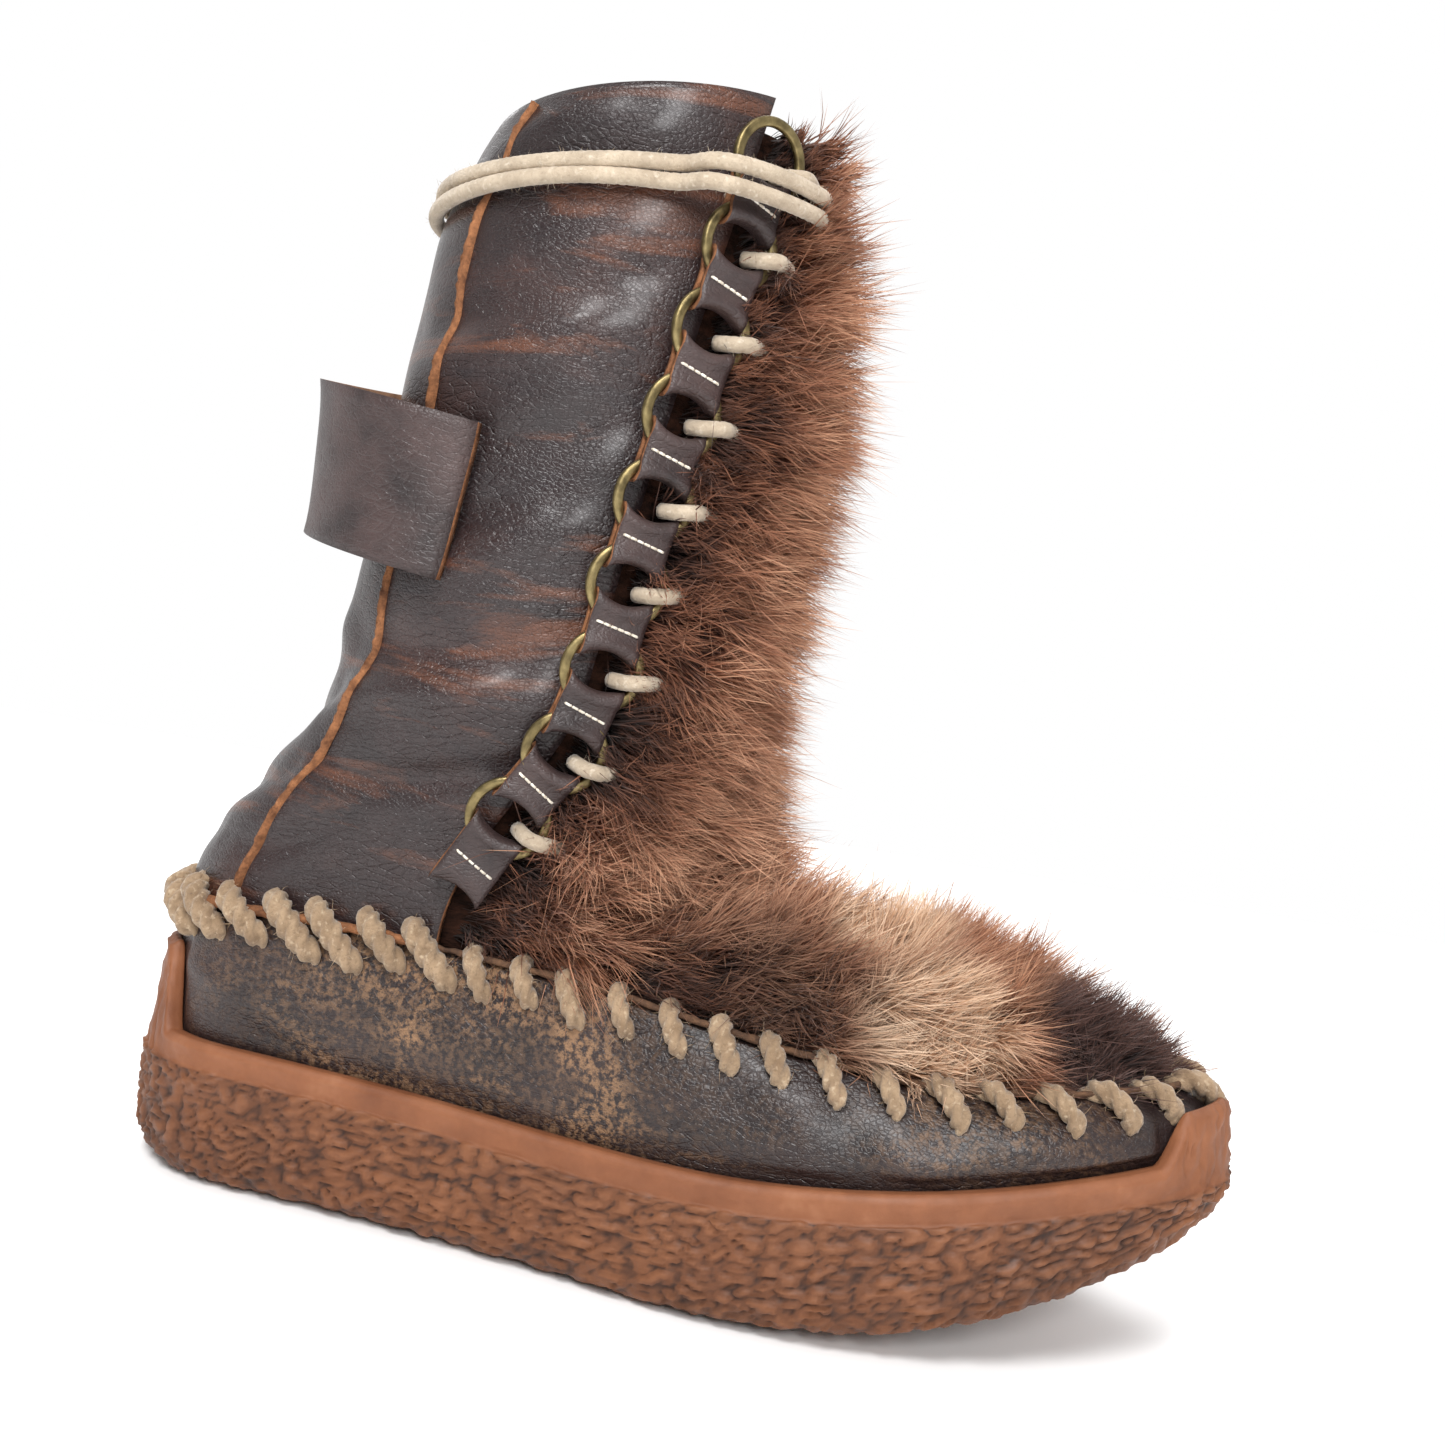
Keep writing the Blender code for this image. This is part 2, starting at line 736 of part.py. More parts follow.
def make_whip_stitch(material):
    share = loop_shares()
    rows = vamp_rows()
    seam = rows[-1]
    below = rows[-2]
    _, outward = outline()
    steps = np.linalg.norm(np.roll(seam, -1, axis=0) - seam, axis=1)
    arc = np.concatenate([[0], np.cumsum(steps)])
    total = arc[-1]
    throat = arc[THROAT_STEP]

    def sample(values, length):
        ring = np.concatenate([values, values[:1]])
        length = length % total
        return np.array([np.interp(length, arc, ring[:, i]) for i in range(ring.shape[1])])

    # Section: distance down the wall, distance out of it, for a stitch and for the raw edge between two
    bar_rear = ((6.0, 0.6), (1.5, 0.6), (-3.2, 0.6), (-4.6, 2.2), (-0.8, 4.8), (4.4, 4.2))
    edge_rear = ((2.2, 0.6), (0.8, 0.6), (-1.4, 0.6), (-1.8, 1.3), (-0.4, 2.1), (2.0, 1.9))
    bar_front = ((6.0, 0.6), (1.5, 0.6), (-0.8, 0.6), (-3.2, 1.4), (-2.2, 4.4), (3.8, 4.4))
    edge_front = ((2.2, 0.6), (0.8, 0.6), (-0.6, 0.6), (-1.2, 1.0), (-1.0, 2.1), (1.8, 1.9))
    slant = 0.55
    points = []
    size = 6
    per_stitch = 3
    for i in range(STITCH_COUNT * per_stitch):
        length = total * i / (STITCH_COUNT * per_stitch)
        bar = i % per_stitch != 0
        rear = min(length, total - length) < throat + 3 * MM
        section = (bar_rear if bar else edge_rear) if rear else (bar_front if bar else edge_front)
        toward_toe = 1 if length < total / 2 else -1
        for down, out in section:
            at = length + toward_toe * slant * down * MM
            at = min(max(at, 0.5 * MM), total - 0.5 * MM) if not 5 * MM < length < total - 5 * MM else at
            edge = sample(seam, at)
            foot = sample(below, at)
            flat = sample(outward, at)
            out_way = unit(np.array([flat[0], flat[1], 0.0]))
            down_way = unit(foot - edge)
            if rear and down < 0:
                down_way = np.array([0.0, 0.0, -1.0])
            wall_out = unit(out_way - down_way * float(out_way @ down_way))
            points.append(edge + down_way * down * MM + wall_out * out * MM)
    faces = []
    rings = STITCH_COUNT * per_stitch
    for i in range(rings):
        faces += band_faces(i * size, (i + 1) % rings * size, size)
    return add_mesh("whip_stitch", points, faces, material)


# Raised seams and loop on the shaft

def make_strip(name, place, low, high, half_wide, proud, steps, material):
    """A strip that lies up the shaft."""
    points = []
    for height in np.linspace(low, high, steps):
        rise = at_height(place, height)
        centre = shaft_point(place, rise)
        normal = shaft_normal(place, rise)
        side = unit(shaft_point(place + 0.01, rise) - shaft_point(place - 0.01, rise))
        for across, out in ((-1, 2 * GAP), (1, 2 * GAP), (0.7, 2 * GAP + proud), (-0.7, 2 * GAP + proud)):
            points.append(centre + side * half_wide * across + normal * out)
    faces = [(0, 1, 2, 3), tuple(4 * steps - 4 + i for i in range(4))]
    for i in range(steps - 1):
        faces += band_faces(4 * i, 4 * i + 4, 4)
    return add_mesh(name, points, faces, material)


def make_back_loop(material):
    """Wide leather loop round the back of the shaft, lower on the lateral side."""
    thick = 2 * MM
    points = []
    places = np.linspace(LOOP_PLACES[0], LOOP_PLACES[1], 13)
    for i, place in enumerate(places):
        share = i / (len(places) - 1)
        swell = math.sin(share * math.pi) ** 0.7 * LOOP_BULGE
        for height, flare in ((LOOP_LOW, 0.85), (LOOP_HIGH, 1.15)):
            height += LOOP_SLOPE * (share - 0.5)
            lift = 2.4 * GAP + swell * flare
            points.append(lifted(place, height, lift))
            points.append(lifted(place, height, lift + thick))
    faces = []
    for i in range(len(places) - 1):
        a = 4 * i
        b = a + 4
        faces.append((a, a + 2, b + 2, b))
        faces.append((a + 1, b + 1, b + 3, a + 3))
        faces.append((a, b, b + 1, a + 1))
        faces.append((a + 2, a + 3, b + 3, b + 2))
    end = 4 * (len(places) - 1)
    faces += [(0, 1, 3, 2), (end, end + 2, end + 3, end + 1)]
    return add_mesh("back_loop", points, faces, material)


# Lace

def lace_crossings():
    """Ladder of crossings over the pressed rows, joined beside the chains."""
    path = []
    for i, row in enumerate(crossing_rows()):
        half = np.linspace(0, 1, 21)
        skin = np.array([fur_skin(row, a) for a in half])
        arc = np.concatenate([[0], np.cumsum(np.linalg.norm(np.diff(skin, axis=0), axis=1))])
        reach = float(np.interp(arc[-1] - LACE_PATH_MARGIN, arc, half))
        turned = 1 if i % 2 == 0 else -1
        for share in np.linspace(-1, 1, 9):
            across = turned * share * reach
            point = fur_skin(row, across)
            side = fur_skin(row, across + 0.02) - fur_skin(row, across - 0.02)
            along = fur_skin(row + 0.004, across) - fur_skin(row - 0.004, across)
            normal = unit(np.cross(side, along))
            if normal[0] < 0:
                normal = -normal
            path.append(point + normal * (LACE_RADIUS + 2.2 * MM))
    return path


def lace_ring(height, lift, count, phase):
    """Points of the lace round the top of the shaft, over the chains and the fur."""
    points = []
    for i in range(count):
        angle = 2 * math.pi * (i + phase) / count
        if angle > math.pi:
            angle -= 2 * math.pi
        here = height - LACE_DROP * (1 + math.cos(angle)) / 2
        level, centre, length, width, edge = columns(SHAFT)
        z = here / MM
        edge_angle = math.radians(float(smooth(z, level, edge)))
        over = ease((abs(angle) - edge_angle + 0.44) / 0.2)
        past = ease((abs(angle) - edge_angle - 0.34) / 0.2)
        extra = lift + over * (1 - 0.7 * past) * (RING_LIFT + 3.6 * MM)
        x = smooth(z, level, centre) * MM - (smooth(z, level, length) * MM + extra) * math.cos(angle)
        y = (smooth(z, level, width) * MM + extra) * math.sin(angle)
        points.append(np.array([x, y, here]))
    return points


KNOT_PLACE = 0.62


def make_lace(material, brass):
    lift = LACE_RADIUS + 3 * GAP
    rise = 2 * LACE_RADIUS + GAP
    add_cord("lace_wrap_lower", lace_ring(LACE_HEIGHT, lift, 24, 0), LACE_RADIUS, material, 1, True)
    upper_height = LACE_HEIGHT + rise
    add_cord("lace_wrap_upper", lace_ring(upper_height, lift, 24, 0), LACE_RADIUS, material, 1, True)
    add_cord("lace_crossings", lace_crossings(), LACE_RADIUS, material, 1)
    knot = lifted(KNOT_PLACE, LACE_HEIGHT - 3 * MM, lift + 2 * LACE_RADIUS + 0.6 * MM)
    normal = shaft_normal(KNOT_PLACE, at_height(KNOT_PLACE, LACE_HEIGHT))
    side = unit(np.cross(normal, np.array([0, 0, 1.0])))
    up = np.array([0, 0, 1.0])
    lump = []
    for along, high in ((-5.0, -2.0), (-2.5, 3.4), (2.5, 3.4), (5.0, -2.0)):
        lump.append(knot + side * along * MM + up * high * MM)
    add_cord("lace_knot", lump, LACE_RADIUS, material, 2)
    # Along the shaft, up, and out of it, in mm from the knot
    ends = {
        "lace_end_back": (
            (-5.2, -2.4, 7.5),
            (-6.6, -5.6, 6.8),
            (-11, -13, 4.2),
            (-18, -24, 3.2),
            (-23, -38, 3.2),
            (-25, -54, 3.2),
            (-24, -70, 3.2),
        ),
        "lace_end_front": (
            (5.2, -2.4, 7.5),
            (6.6, -5.6, 6.8),
            (7.5, -14, 4.2),
            (7, -26, 3.2),
            (5, -40, 3.2),
            (4, -54, 3.2),
        ),
    }
    for name, offsets in ends.items():
        points = [hang_point(knot, side, *(value * MM for value in row)) for row in offsets]
        add_cord(name, points, LACE_RADIUS, material, 2)
        way = unit(points[-1] - points[-2])
        tip = [points[-1] + way * (GAP + share * 15 * MM) for share in (0, 1)]
        make_tip(name.replace("end", "tip"), tip, brass)


def hang_point(knot, side, along, high, lift):
    """A point of a free end, beside the shaft and below the knot."""
    flat = knot + side * along + np.array([0, 0, high])
    height = flat[2]
    level, centre, length, width, _ = columns(SHAFT)
    z = height / MM
    middle = np.array([float(smooth(z, level, centre)) * MM, 0.0])
    away = flat[:2] - middle
    a = float(smooth(z, level, length)) * MM + lift
    b = float(smooth(z, level, width)) * MM + lift
    scale = 1 / math.sqrt((away[0] / a) ** 2 + (away[1] / b) ** 2)
    return np.array([*(middle + away * scale), height])


def make_tip(name, ends, material):
    start, finish = ends
    way = unit(finish - start)
    side = unit(np.cross(way, np.array([1.0, 0.3, 0.0])))
    other = np.cross(way, side)
    points = []
    count = 8
    for centre, radius in ((start, 2.3 * MM), (finish, 1.0 * MM)):
        for i in range(count):
            turn = 2 * math.pi * i / count
            points.append(centre + (side * math.cos(turn) + other * math.sin(turn)) * radius)
    faces = [tuple(range(count)), tuple(range(count, 2 * count))] + band_faces(0, count, count)
    return add_mesh(name, points, faces, material)


for old in list(bpy.data.objects):
    bpy.data.objects.remove(old, do_unlink=True)

boot = bpy.data.collections.new("fur_front_mukluk_boot")
bpy.context.scene.collection.children.link(boot)
root = bpy.data.objects.new("boot_root", None)
boot.objects.link(root)

crepe = new_material("crepe_rubber", (0.30, 0.125, 0.050), 0.75)
board = new_material("insole_leather", (0.33, 0.21, 0.12), 0.85)
leather = new_material("dark_leather", (0.045, 0.032, 0.030), 0.45)
hide = new_material("fur", (0.23, 0.105, 0.058), 0.95)
brass = new_material("antique_brass", (0.27, 0.22, 0.13), 0.42, 1.0)
cord = new_material("linen_cord", (0.47, 0.36, 0.22), 0.9)
raw = new_material("raw_edge", (0.36, 0.20, 0.10), 0.85)

SIDES.update(side_columns())
make_sole(crepe)
make_insole(board)
make_upper(leather)
make_fur(hide)
make_chain(LATERAL, "lateral", brass, leather)
make_chain(MEDIAL, "medial", brass, leather)
make_whip_stitch(cord)
strip_low = 76 * MM
for sign, label in ((LATERAL, "lateral"), (MEDIAL, "medial")):
    make_strip(f"seam_{label}", sign * SIDE_SEAM_PLACE, strip_low, LACE_HEIGHT - 12 * MM, 1.1 * MM, 1.1 * MM, 13, raw)
make_back_loop(leather)
make_lace(cord, brass)
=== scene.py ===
"""Looks of the fur-fronted mukluk boot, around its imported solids.

Metres, +Z up, toe along +X, lateral side at -Y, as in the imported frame.
"""

import math

import bmesh
import bpy
import numpy as np
from mathutils import Matrix, Vector, noise


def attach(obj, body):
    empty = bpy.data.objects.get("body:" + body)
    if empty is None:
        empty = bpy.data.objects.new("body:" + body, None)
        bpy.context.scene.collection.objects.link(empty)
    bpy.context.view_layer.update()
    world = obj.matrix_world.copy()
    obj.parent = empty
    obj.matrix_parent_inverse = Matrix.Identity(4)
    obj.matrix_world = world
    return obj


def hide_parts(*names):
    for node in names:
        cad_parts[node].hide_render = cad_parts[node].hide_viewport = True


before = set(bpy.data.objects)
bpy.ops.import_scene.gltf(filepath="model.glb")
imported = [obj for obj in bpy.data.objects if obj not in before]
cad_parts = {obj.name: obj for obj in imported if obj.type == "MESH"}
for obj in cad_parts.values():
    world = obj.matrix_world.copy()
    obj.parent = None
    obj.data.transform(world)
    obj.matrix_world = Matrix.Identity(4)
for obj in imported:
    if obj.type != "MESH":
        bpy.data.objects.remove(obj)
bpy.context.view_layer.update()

MM = 0.001
GAP = 0.3 * MM
LATERAL = -1
MEDIAL = 1
UP = np.array([0.0, 0.0, 1.0])

# Sizes of the solids
LENGTH = 285 * MM
BALL_WIDTH = 98 * MM
HEEL_BACK = -62 * MM
TOE_SHIFT = 7 * MM
CUP_WALL = 6 * MM
BAND_HEIGHT = 7 * MM
BAND_STEP = 0.9 * MM
HEEL_TAB = 22 * MM
HEEL_TAB_HALF = 27 * MM
TOE_TAB = 11 * MM
TOE_TAB_HALF = 24 * MM
TAB_SHOULDER = 9 * MM
LEATHER = 2 * MM
COLLAR_HEIGHT = 285 * MM
COLLAR_DIP = 13 * MM
ANKLE_HEIGHT = 138 * MM
VAMP_BULGE = 1.7 * MM
SIDE_SEAM_PLACE = 0.42
RING_RADIUS = 9.3 * MM
RING_WIRE = 1.2 * MM
RING_COUNT = 9
CHAIN_START = 40 * MM
CHAIN_END_MARGIN = 7 * MM
LINK_WIDTH = 14 * MM
LINK_LEATHER = 1.4 * MM
LINK_SLACK = 0.85 * MM
RING_LIFT = RING_WIRE + LINK_SLACK + LINK_LEATHER + 3 * GAP
CHAIN_SHIFT = 1 * MM
BOTTOM_TAB = 6 * MM
HIDE = 2 * MM
PILE = 17 * MM
STITCH_COUNT = 46
LACE_RADIUS = 2 * MM
LACE_HEIGHT = 260 * MM
LACE_DROP = 7 * MM
LOOP_LOW = 168 * MM
LOOP_HIGH = 206 * MM
LOOP_PLACES = (-0.60, 0.32)
LOOP_BULGE = 15 * MM
LOOP_SLOPE = 16 * MM
KNOT_PLACE = 0.62

# Half widths of the sole as shares of BALL_WIDTH: along, lateral, medial
PLAN = (
    (0.00, 0.335, 0.335),
    (0.12, 0.360, 0.350),
    (0.28, 0.375, 0.345),
    (0.45, 0.420, 0.370),
    (0.58, 0.470, 0.430),
    (0.70, 0.490, 0.480),
    (0.82, 0.480, 0.500),
    (1.00, 0.420, 0.460),
)

# Heights in mm: along, tread, cup floor, rim, whip-stitched seam; then the seam's inset from the outline
PROFILE = (
    (0.00, 4.0, 15.0, 36.0, 68.5, 6.6),
    (0.05, 0.8, 15.0, 36.0, 70.0, 6.6),
    (0.12, 0.0, 15.0, 36.0, 70.5, 6.8),
    (0.30, 0.0, 13.0, 35.0, 70.0, 8.5),
    (0.50, 0.0, 11.0, 33.5, 67.0, 10.5),
    (0.62, 0.6, 11.5, 34.5, 62.5, 14.0),
    (0.75, 5.5, 15.5, 39.0, 59.0, 16.5),
    (0.90, 19.0, 29.0, 47.0, 61.5, 15.0),
    (1.00, 32.0, 41.0, 53.0, 65.0, 13.5),
)

# Shaft ovals in mm: height, centre along X, half length, half width, throat edge in degrees from the back
SHAFT = (
    (60.0, 16.0, 47.0, 37.0, 126.0),
    (122.0, 25.0, 46.5, 38.5, 129.0),
    (180.0, 31.0, 46.0, 40.0, 134.0),
    (225.0, 36.5, 46.0, 41.5, 138.5),
    (256.0, 40.5, 45.5, 41.5, 142.0),
    (290.0, 51.0, 37.5, 41.0, 146.0),
)

# Centre line of the fur front in mm: row, x, z, share of the seam and of the throat at its edge, pile share
FUR_LINE = (
    (0.00, 203.0, 61.5, 0.950, 0.0, 0.15),
    (0.06, 195.0, 64.0, 0.920, 0.0, 0.30),
    (0.25, 163.0, 71.5, 0.800, 0.0, 0.75),
    (0.40, 122.0, 80.0, 0.570, 0.0, 0.95),
    (0.50, 93.0, 92.0, 0.330, 0.0, 0.80),
    (0.58, 81.0, 114.0, 0.330, 0.14, 1.05),
    (0.70, 79.0, 158.0, 0.330, 0.385, 1.20),
    (0.85, 84.0, 220.0, 0.330, 0.685, 1.20),
    (1.00, 87.5, 277.0, 0.330, 0.965, 0.60),
)

# Stations of the loops, and rows of the upper's wall and shaft
SIDE_STEPS = 160
THROAT_STEP = 60
SOLE_STEPS = 420
VAMP_ROWS = 26
VAMP_RISES = (0.0, 0.2, 0.42, 0.76, 1.0)
SHAFT_ROWS = 126


def columns(table):
    return np.array(table, float).T


def smooth(at, xs, values):
    """Cubic curve through values that stand at xs, read at other places."""
    slopes = np.gradient(values, xs, axis=0)
    at = np.asarray(at, float)
    i = np.clip(np.searchsorted(xs, at) - 1, 0, len(xs) - 2)
    spread = at.shape + (1,) * (np.ndim(values) - 1)
    step = np.reshape(xs[i + 1] - xs[i], spread)
    t = np.clip(np.reshape(at - xs[i], spread) / step, 0, 1)
    lean = (t**3 - 2 * t**2 + t) * slopes[i] + (t**3 - t**2) * slopes[i + 1]
    return mix(values[i], values[i + 1], ease(t)) + lean * step


def ease(t):
    t = np.clip(t, 0, 1)
    return t * t * (3 - 2 * t)


def mix(a, b, t):
    return a * (1 - t) + b * t


def unit(v):
    v = np.asarray(v, float)
    return v / np.maximum(np.linalg.norm(v, axis=-1, keepdims=True), 1e-12)


def lengths_along(points):
    return np.concatenate([[0], np.cumsum(np.linalg.norm(np.diff(points, axis=0), axis=1))])


def resampled(points, count, closed=False):
    """Smooth curve through a few points, at even steps."""
    points = np.asarray(points, float)
    ring = np.concatenate([points[-3:], points, points[:4]]) if closed else points
    arc = lengths_along(ring)
    low, high = (arc[3], arc[-4]) if closed else (arc[0], arc[-1])
    return smooth(np.linspace(low, high, count, endpoint=not closed), arc, ring)


def noise_at(points):
    """Blender's smooth noise, from -1 to 1, at each of many points."""
    values = [noise.noise(Vector(p)) for p in points.reshape(-1, 3)]
    return np.array(values).reshape(points.shape[:-1])


# Outline of the sole, as in the solids

def end_round(share, toe_span):
    heel = np.clip(1 - share / 0.13, 0, 1)
    toe = np.clip(1 - (1 - share) / toe_span, 0, 1)
    return ((1 - heel**2.1) * (1 - toe**2.1)) ** (1 / 2.1)


def half_width(share, sign):
    along, lateral, medial = columns(PLAN)
    table = lateral if sign < 0 else medial
    return smooth(share, along, table) * BALL_WIDTH * end_round(share, 0.30 if sign < 0 else 0.22)


def profile(share, column):
    table = columns(PROFILE)
    return smooth(share, table[0], table[column]) * MM


class Loop:
    """Stations round the sole: heel, lateral side, toe, medial side."""

    def __init__(self, steps):
        side = (1 - np.cos(np.linspace(0, math.pi, steps + 1))) / 2
        self.steps = steps
        self.throat = steps * THROAT_STEP // SIDE_STEPS
        self.side = side
        self.share = np.concatenate([side, side[-2:0:-1]])
        self.count = len(self.share)
        sign = np.full(self.count, float(LATERAL))
        sign[steps + 1 :] = MEDIAL
        self.sign = sign
        wide = np.where(sign < 0, half_width(self.share, LATERAL), half_width(self.share, MEDIAL))
        centre = TOE_SHIFT * ease((self.share - 0.5) / 0.5)
        self.points = np.stack([HEEL_BACK + self.share * LENGTH, centre + sign * wide], axis=1)
        along = np.roll(self.points, -1, axis=0) - np.roll(self.points, 1, axis=0)
        self.outward = unit(np.stack([along[:, 1], -along[:, 0]], axis=1))
        step = np.linalg.norm(np.roll(self.points, -1, axis=0) - self.points, axis=1)
        self.arc = np.concatenate([[0], np.cumsum(step)])[:-1]
        self.total = step.sum()
        from_heel = np.minimum(self.arc, self.total - self.arc)
        from_toe = np.abs(self.arc - self.arc[steps])
        self.heel = ease((HEEL_TAB_HALF + TAB_SHOULDER - from_heel) / TAB_SHOULDER)
        self.toe = ease((TOE_TAB_HALF + TAB_SHOULDER - from_toe) / TAB_SHOULDER)

    def ring(self, inset, height):
        inset = np.broadcast_to(inset, self.count)
        height = np.broadcast_to(height, self.count)
        flat = self.points - self.outward * inset[:, None]
        return np.column_stack([flat, height])

    def vamp_rings(self):
        share = self.share
        free = 1 - np.clip(8 * (self.heel + self.toe), 0, 1)
        inside = CUP_WALL + GAP
        low = profile(share, 3)
        high = profile(share, 4)
        seam = profile(share, 5)
        bulge = VAMP_BULGE * free
        return [
            self.ring(inside, profile(share, 2) + GAP),
            self.ring(inside, low + 1.2 * MM),
            self.ring(inside - 0.7 * bulge, mix(low, high, 0.20)),
            self.ring(mix(inside, seam, 0.12) - bulge, mix(low, high, 0.42)),
            self.ring(mix(inside, seam, 0.45) - 0.6 * bulge, mix(low, high, 0.76)),
            self.ring(seam, high),
        ]

    def side_index(self, sign, last):
        order = np.arange(last + 1)
        return order if sign < 0 else (-order) % self.count


LOOP = Loop(SIDE_STEPS)
SEAM = LOOP.vamp_rings()[-1]
SIDES = {}
for way in (LATERAL, MEDIAL):
    edge_points = SEAM[LOOP.side_index(way, LOOP.throat)]
    edge_arc = lengths_along(edge_points)
    SIDES[way] = (edge_points, edge_arc / edge_arc[-1])


# Shaft, as in the solids, for arrays of places and heights

def shaft_row(height):
    table = columns(SHAFT)
    return [smooth(height / MM, table[0], table[i]) for i in (1, 2, 3, 4)]


def seam_of(place):
    found = []
    for i in range(3):
        values = [np.interp(np.abs(place), SIDES[s][1], SIDES[s][0][:, i]) for s in (LATERAL, MEDIAL)]
        found.append(np.where(np.asarray(place) < 0, values[0], values[1]))
    return found


def collar_height(place):
    return COLLAR_HEIGHT - COLLAR_DIP * (1 - np.abs(place))


def shaft_point(place, rise):
    place, rise = np.broadcast_arrays(np.asarray(place, float), np.asarray(rise, float))
    base = seam_of(place)
    height = mix(base[2], collar_height(place), rise)
    centre, length, width, edge = shaft_row(height)
    angle = np.radians(edge) * place
    oval = ((centre - length * np.cos(angle)) * MM, width * np.sin(angle) * MM)
    blend = ease((height - base[2]) / (ANKLE_HEIGHT - base[2]))
    return np.stack([mix(base[0], oval[0], blend), mix(base[1], oval[1], blend), height], axis=-1)


def shaft_normal(place, rise):
    place, rise = np.broadcast_arrays(np.asarray(place, float), np.asarray(rise, float))
    step = 0.01
    left = np.clip(place - step, -1, 1)
    right = np.clip(place + step, -1, 1)
    across = shaft_point(right, rise) - shaft_point(left, rise)
    up = shaft_point(place, np.clip(rise + step, 0, 1)) - shaft_point(place, np.clip(rise - step, 0, 1))
    return unit(np.cross(up, across))


def at_height(place, height):
    base = seam_of(place)[2]
    return (height - base) / (collar_height(place) - base)


def lifted(place, height, lift):
    rise = at_height(place, height)
    return shaft_point(place, rise) + shaft_normal(place, rise) * lift


# Soft folds of the shaft: place and height at one end, at the other, depth, half width, in mm
FOLD_DEPTH = 2.0
SHAFT_FOLDS = (
    (-0.95, 118, -0.45, 112, -1.7, 5.0),
    (-0.90, 133, -0.30, 124, 1.3, 6.0),
    (-0.95, 152, -0.35, 143, -1.5, 6.5),
    (-0.98, 176, -0.50, 160, 1.0, 7.5),
    (-0.80, 186, -0.28, 170, -1.3, 7.0),
    (-0.97, 208, -0.45, 192, -1.1, 6.5),
    (-0.90, 224, -0.30, 206, 0.9, 7.5),
    (-0.85, 238, -0.25, 222, -1.0, 6.0),
    (-0.30, 128, 0.20, 118, -1.5, 5.5),
    (-0.20, 146, 0.35, 136, 1.2, 6.0),
    (-0.35, 108, 0.30, 100, -1.4, 5.0),
    (-0.20, 88, 0.25, 92, -0.9, 4.5),
    (0.95, 120, 0.40, 112, -1.6, 5.5),
    (0.90, 150, 0.35, 140, -1.4, 6.5),
    (0.95, 182, 0.45, 168, 1.1, 7.0),
    (0.85, 214, 0.35, 202, -1.2, 6.5),
    (0.80, 236, 0.30, 226, 0.8, 6.0),
    (0.20, 196, 0.60, 186, -0.9, 6.0),
    (-0.62, 98, -0.30, 86, -0.9, 4.5),
    (-0.75, 270, -0.35, 262, 0.8, 5.0),
)


def shaft_folds(place, height):
    """Distance that the leather stands proud or falls in, in metres."""
    wide = 105.0
    x = place * wide
    z = height / MM
    total = np.zeros(np.shape(x))
    for p0, z0, p1, z1, depth, half in SHAFT_FOLDS:
        depth = depth * FOLD_DEPTH
        a = np.array([p0 * wide, z0])
        way = np.array([p1 * wide, z1]) - a
        share = ((x - a[0]) * way[0] + (z - a[1]) * way[1]) / (way @ way)
        held = np.clip(share, 0, 1)
        bow = 5.0 * np.sin(math.pi * held) * np.sign(depth)
        off = np.hypot(x - a[0] - way[0] * held, z - a[1] - way[1] * held - bow)
        ends = np.sin(math.pi * np.clip(held, 0.12, 0.88)) ** 0.7
        total += depth * ends * np.exp(-((off / half) ** 2))
    fade = ease((z - 74) / 18) * ease((291 - z) / 14) * ease((1.02 - np.abs(place)) / 0.09)
    cinch = 1.1 * np.exp(-(((z - LACE_HEIGHT / MM) / 7.0) ** 2))
    return (total * fade - cinch * ease((1.0 - np.abs(place)) / 0.1)) * MM


# Dents of the vamp: share of the length, share of the height, depth in mm, spread along and up in mm
VAMP_DENTS = (
    (0.700, 0.55, -1.9, 9.0, 9.0),
    (0.735, 0.30, 1.1, 13.0, 5.0),
    (0.655, 0.45, 1.0, 10.0, 9.0),
    (0.765, 0.72, -0.9, 12.0, 5.0),
    (0.600, 0.62, -0.8, 14.0, 8.0),
    (0.090, 0.40, 1.5, 17.0, 4.5),
    (0.130, 0.22, -1.3, 22.0, 4.0),
    (0.200, 0.60, -0.8, 16.0, 7.0),
    (0.330, 0.42, 0.7, 26.0, 9.0),
    (0.450, 0.30, -0.8, 20.0, 6.0),
    (0.860, 0.45, 0.8, 14.0, 6.0),
    (0.915, 0.60, -0.7, 8.0, 5.0),
)


def vamp_dents(share, rise, height):
    share, rise, height = np.broadcast_arrays(share, rise, height)
    total = np.zeros(share.shape)
    for s0, r0, depth, long, tall in VAMP_DENTS:
        along = (share - s0) * LENGTH / MM
        up = (rise - r0) * height / MM
        tilt = along * 0.35
        total += depth * np.exp(-((along / long) ** 2) - (((up + tilt) / tall) ** 2))
    fade = ease(rise / 0.12) * ease((1 - rise) / 0.22)
    return total * fade * MM


# Fur skin, as in the solids

SEAM_SIDE = {way: SEAM[LOOP.side_index(way, LOOP.steps)] for way in (LATERAL, MEDIAL)}
OUT_SIDE = {way: LOOP.outward[LOOP.side_index(way, LOOP.steps)] for way in (LATERAL, MEDIAL)}


def fur_edge(row, sign):
    table = columns(FUR_LINE)
    along = float(np.interp(row, table[0], table[3]))
    rise = float(np.interp(row, table[0], table[4]))
    inward = LEATHER + 4 * GAP
    if rise <= 0:
        point = np.array([np.interp(along, LOOP.side, SEAM_SIDE[sign][:, i]) for i in range(3)])
        out = np.array([*(np.interp(along, LOOP.side, OUT_SIDE[sign][:, i]) for i in range(2)), 0.0])
        return point - unit(out) * (inward + 1.0 * MM) - np.array([0, 0, 3.0 * MM])
    place = sign * 0.985
    return shaft_point(place, rise) - shaft_normal(place, rise) * inward


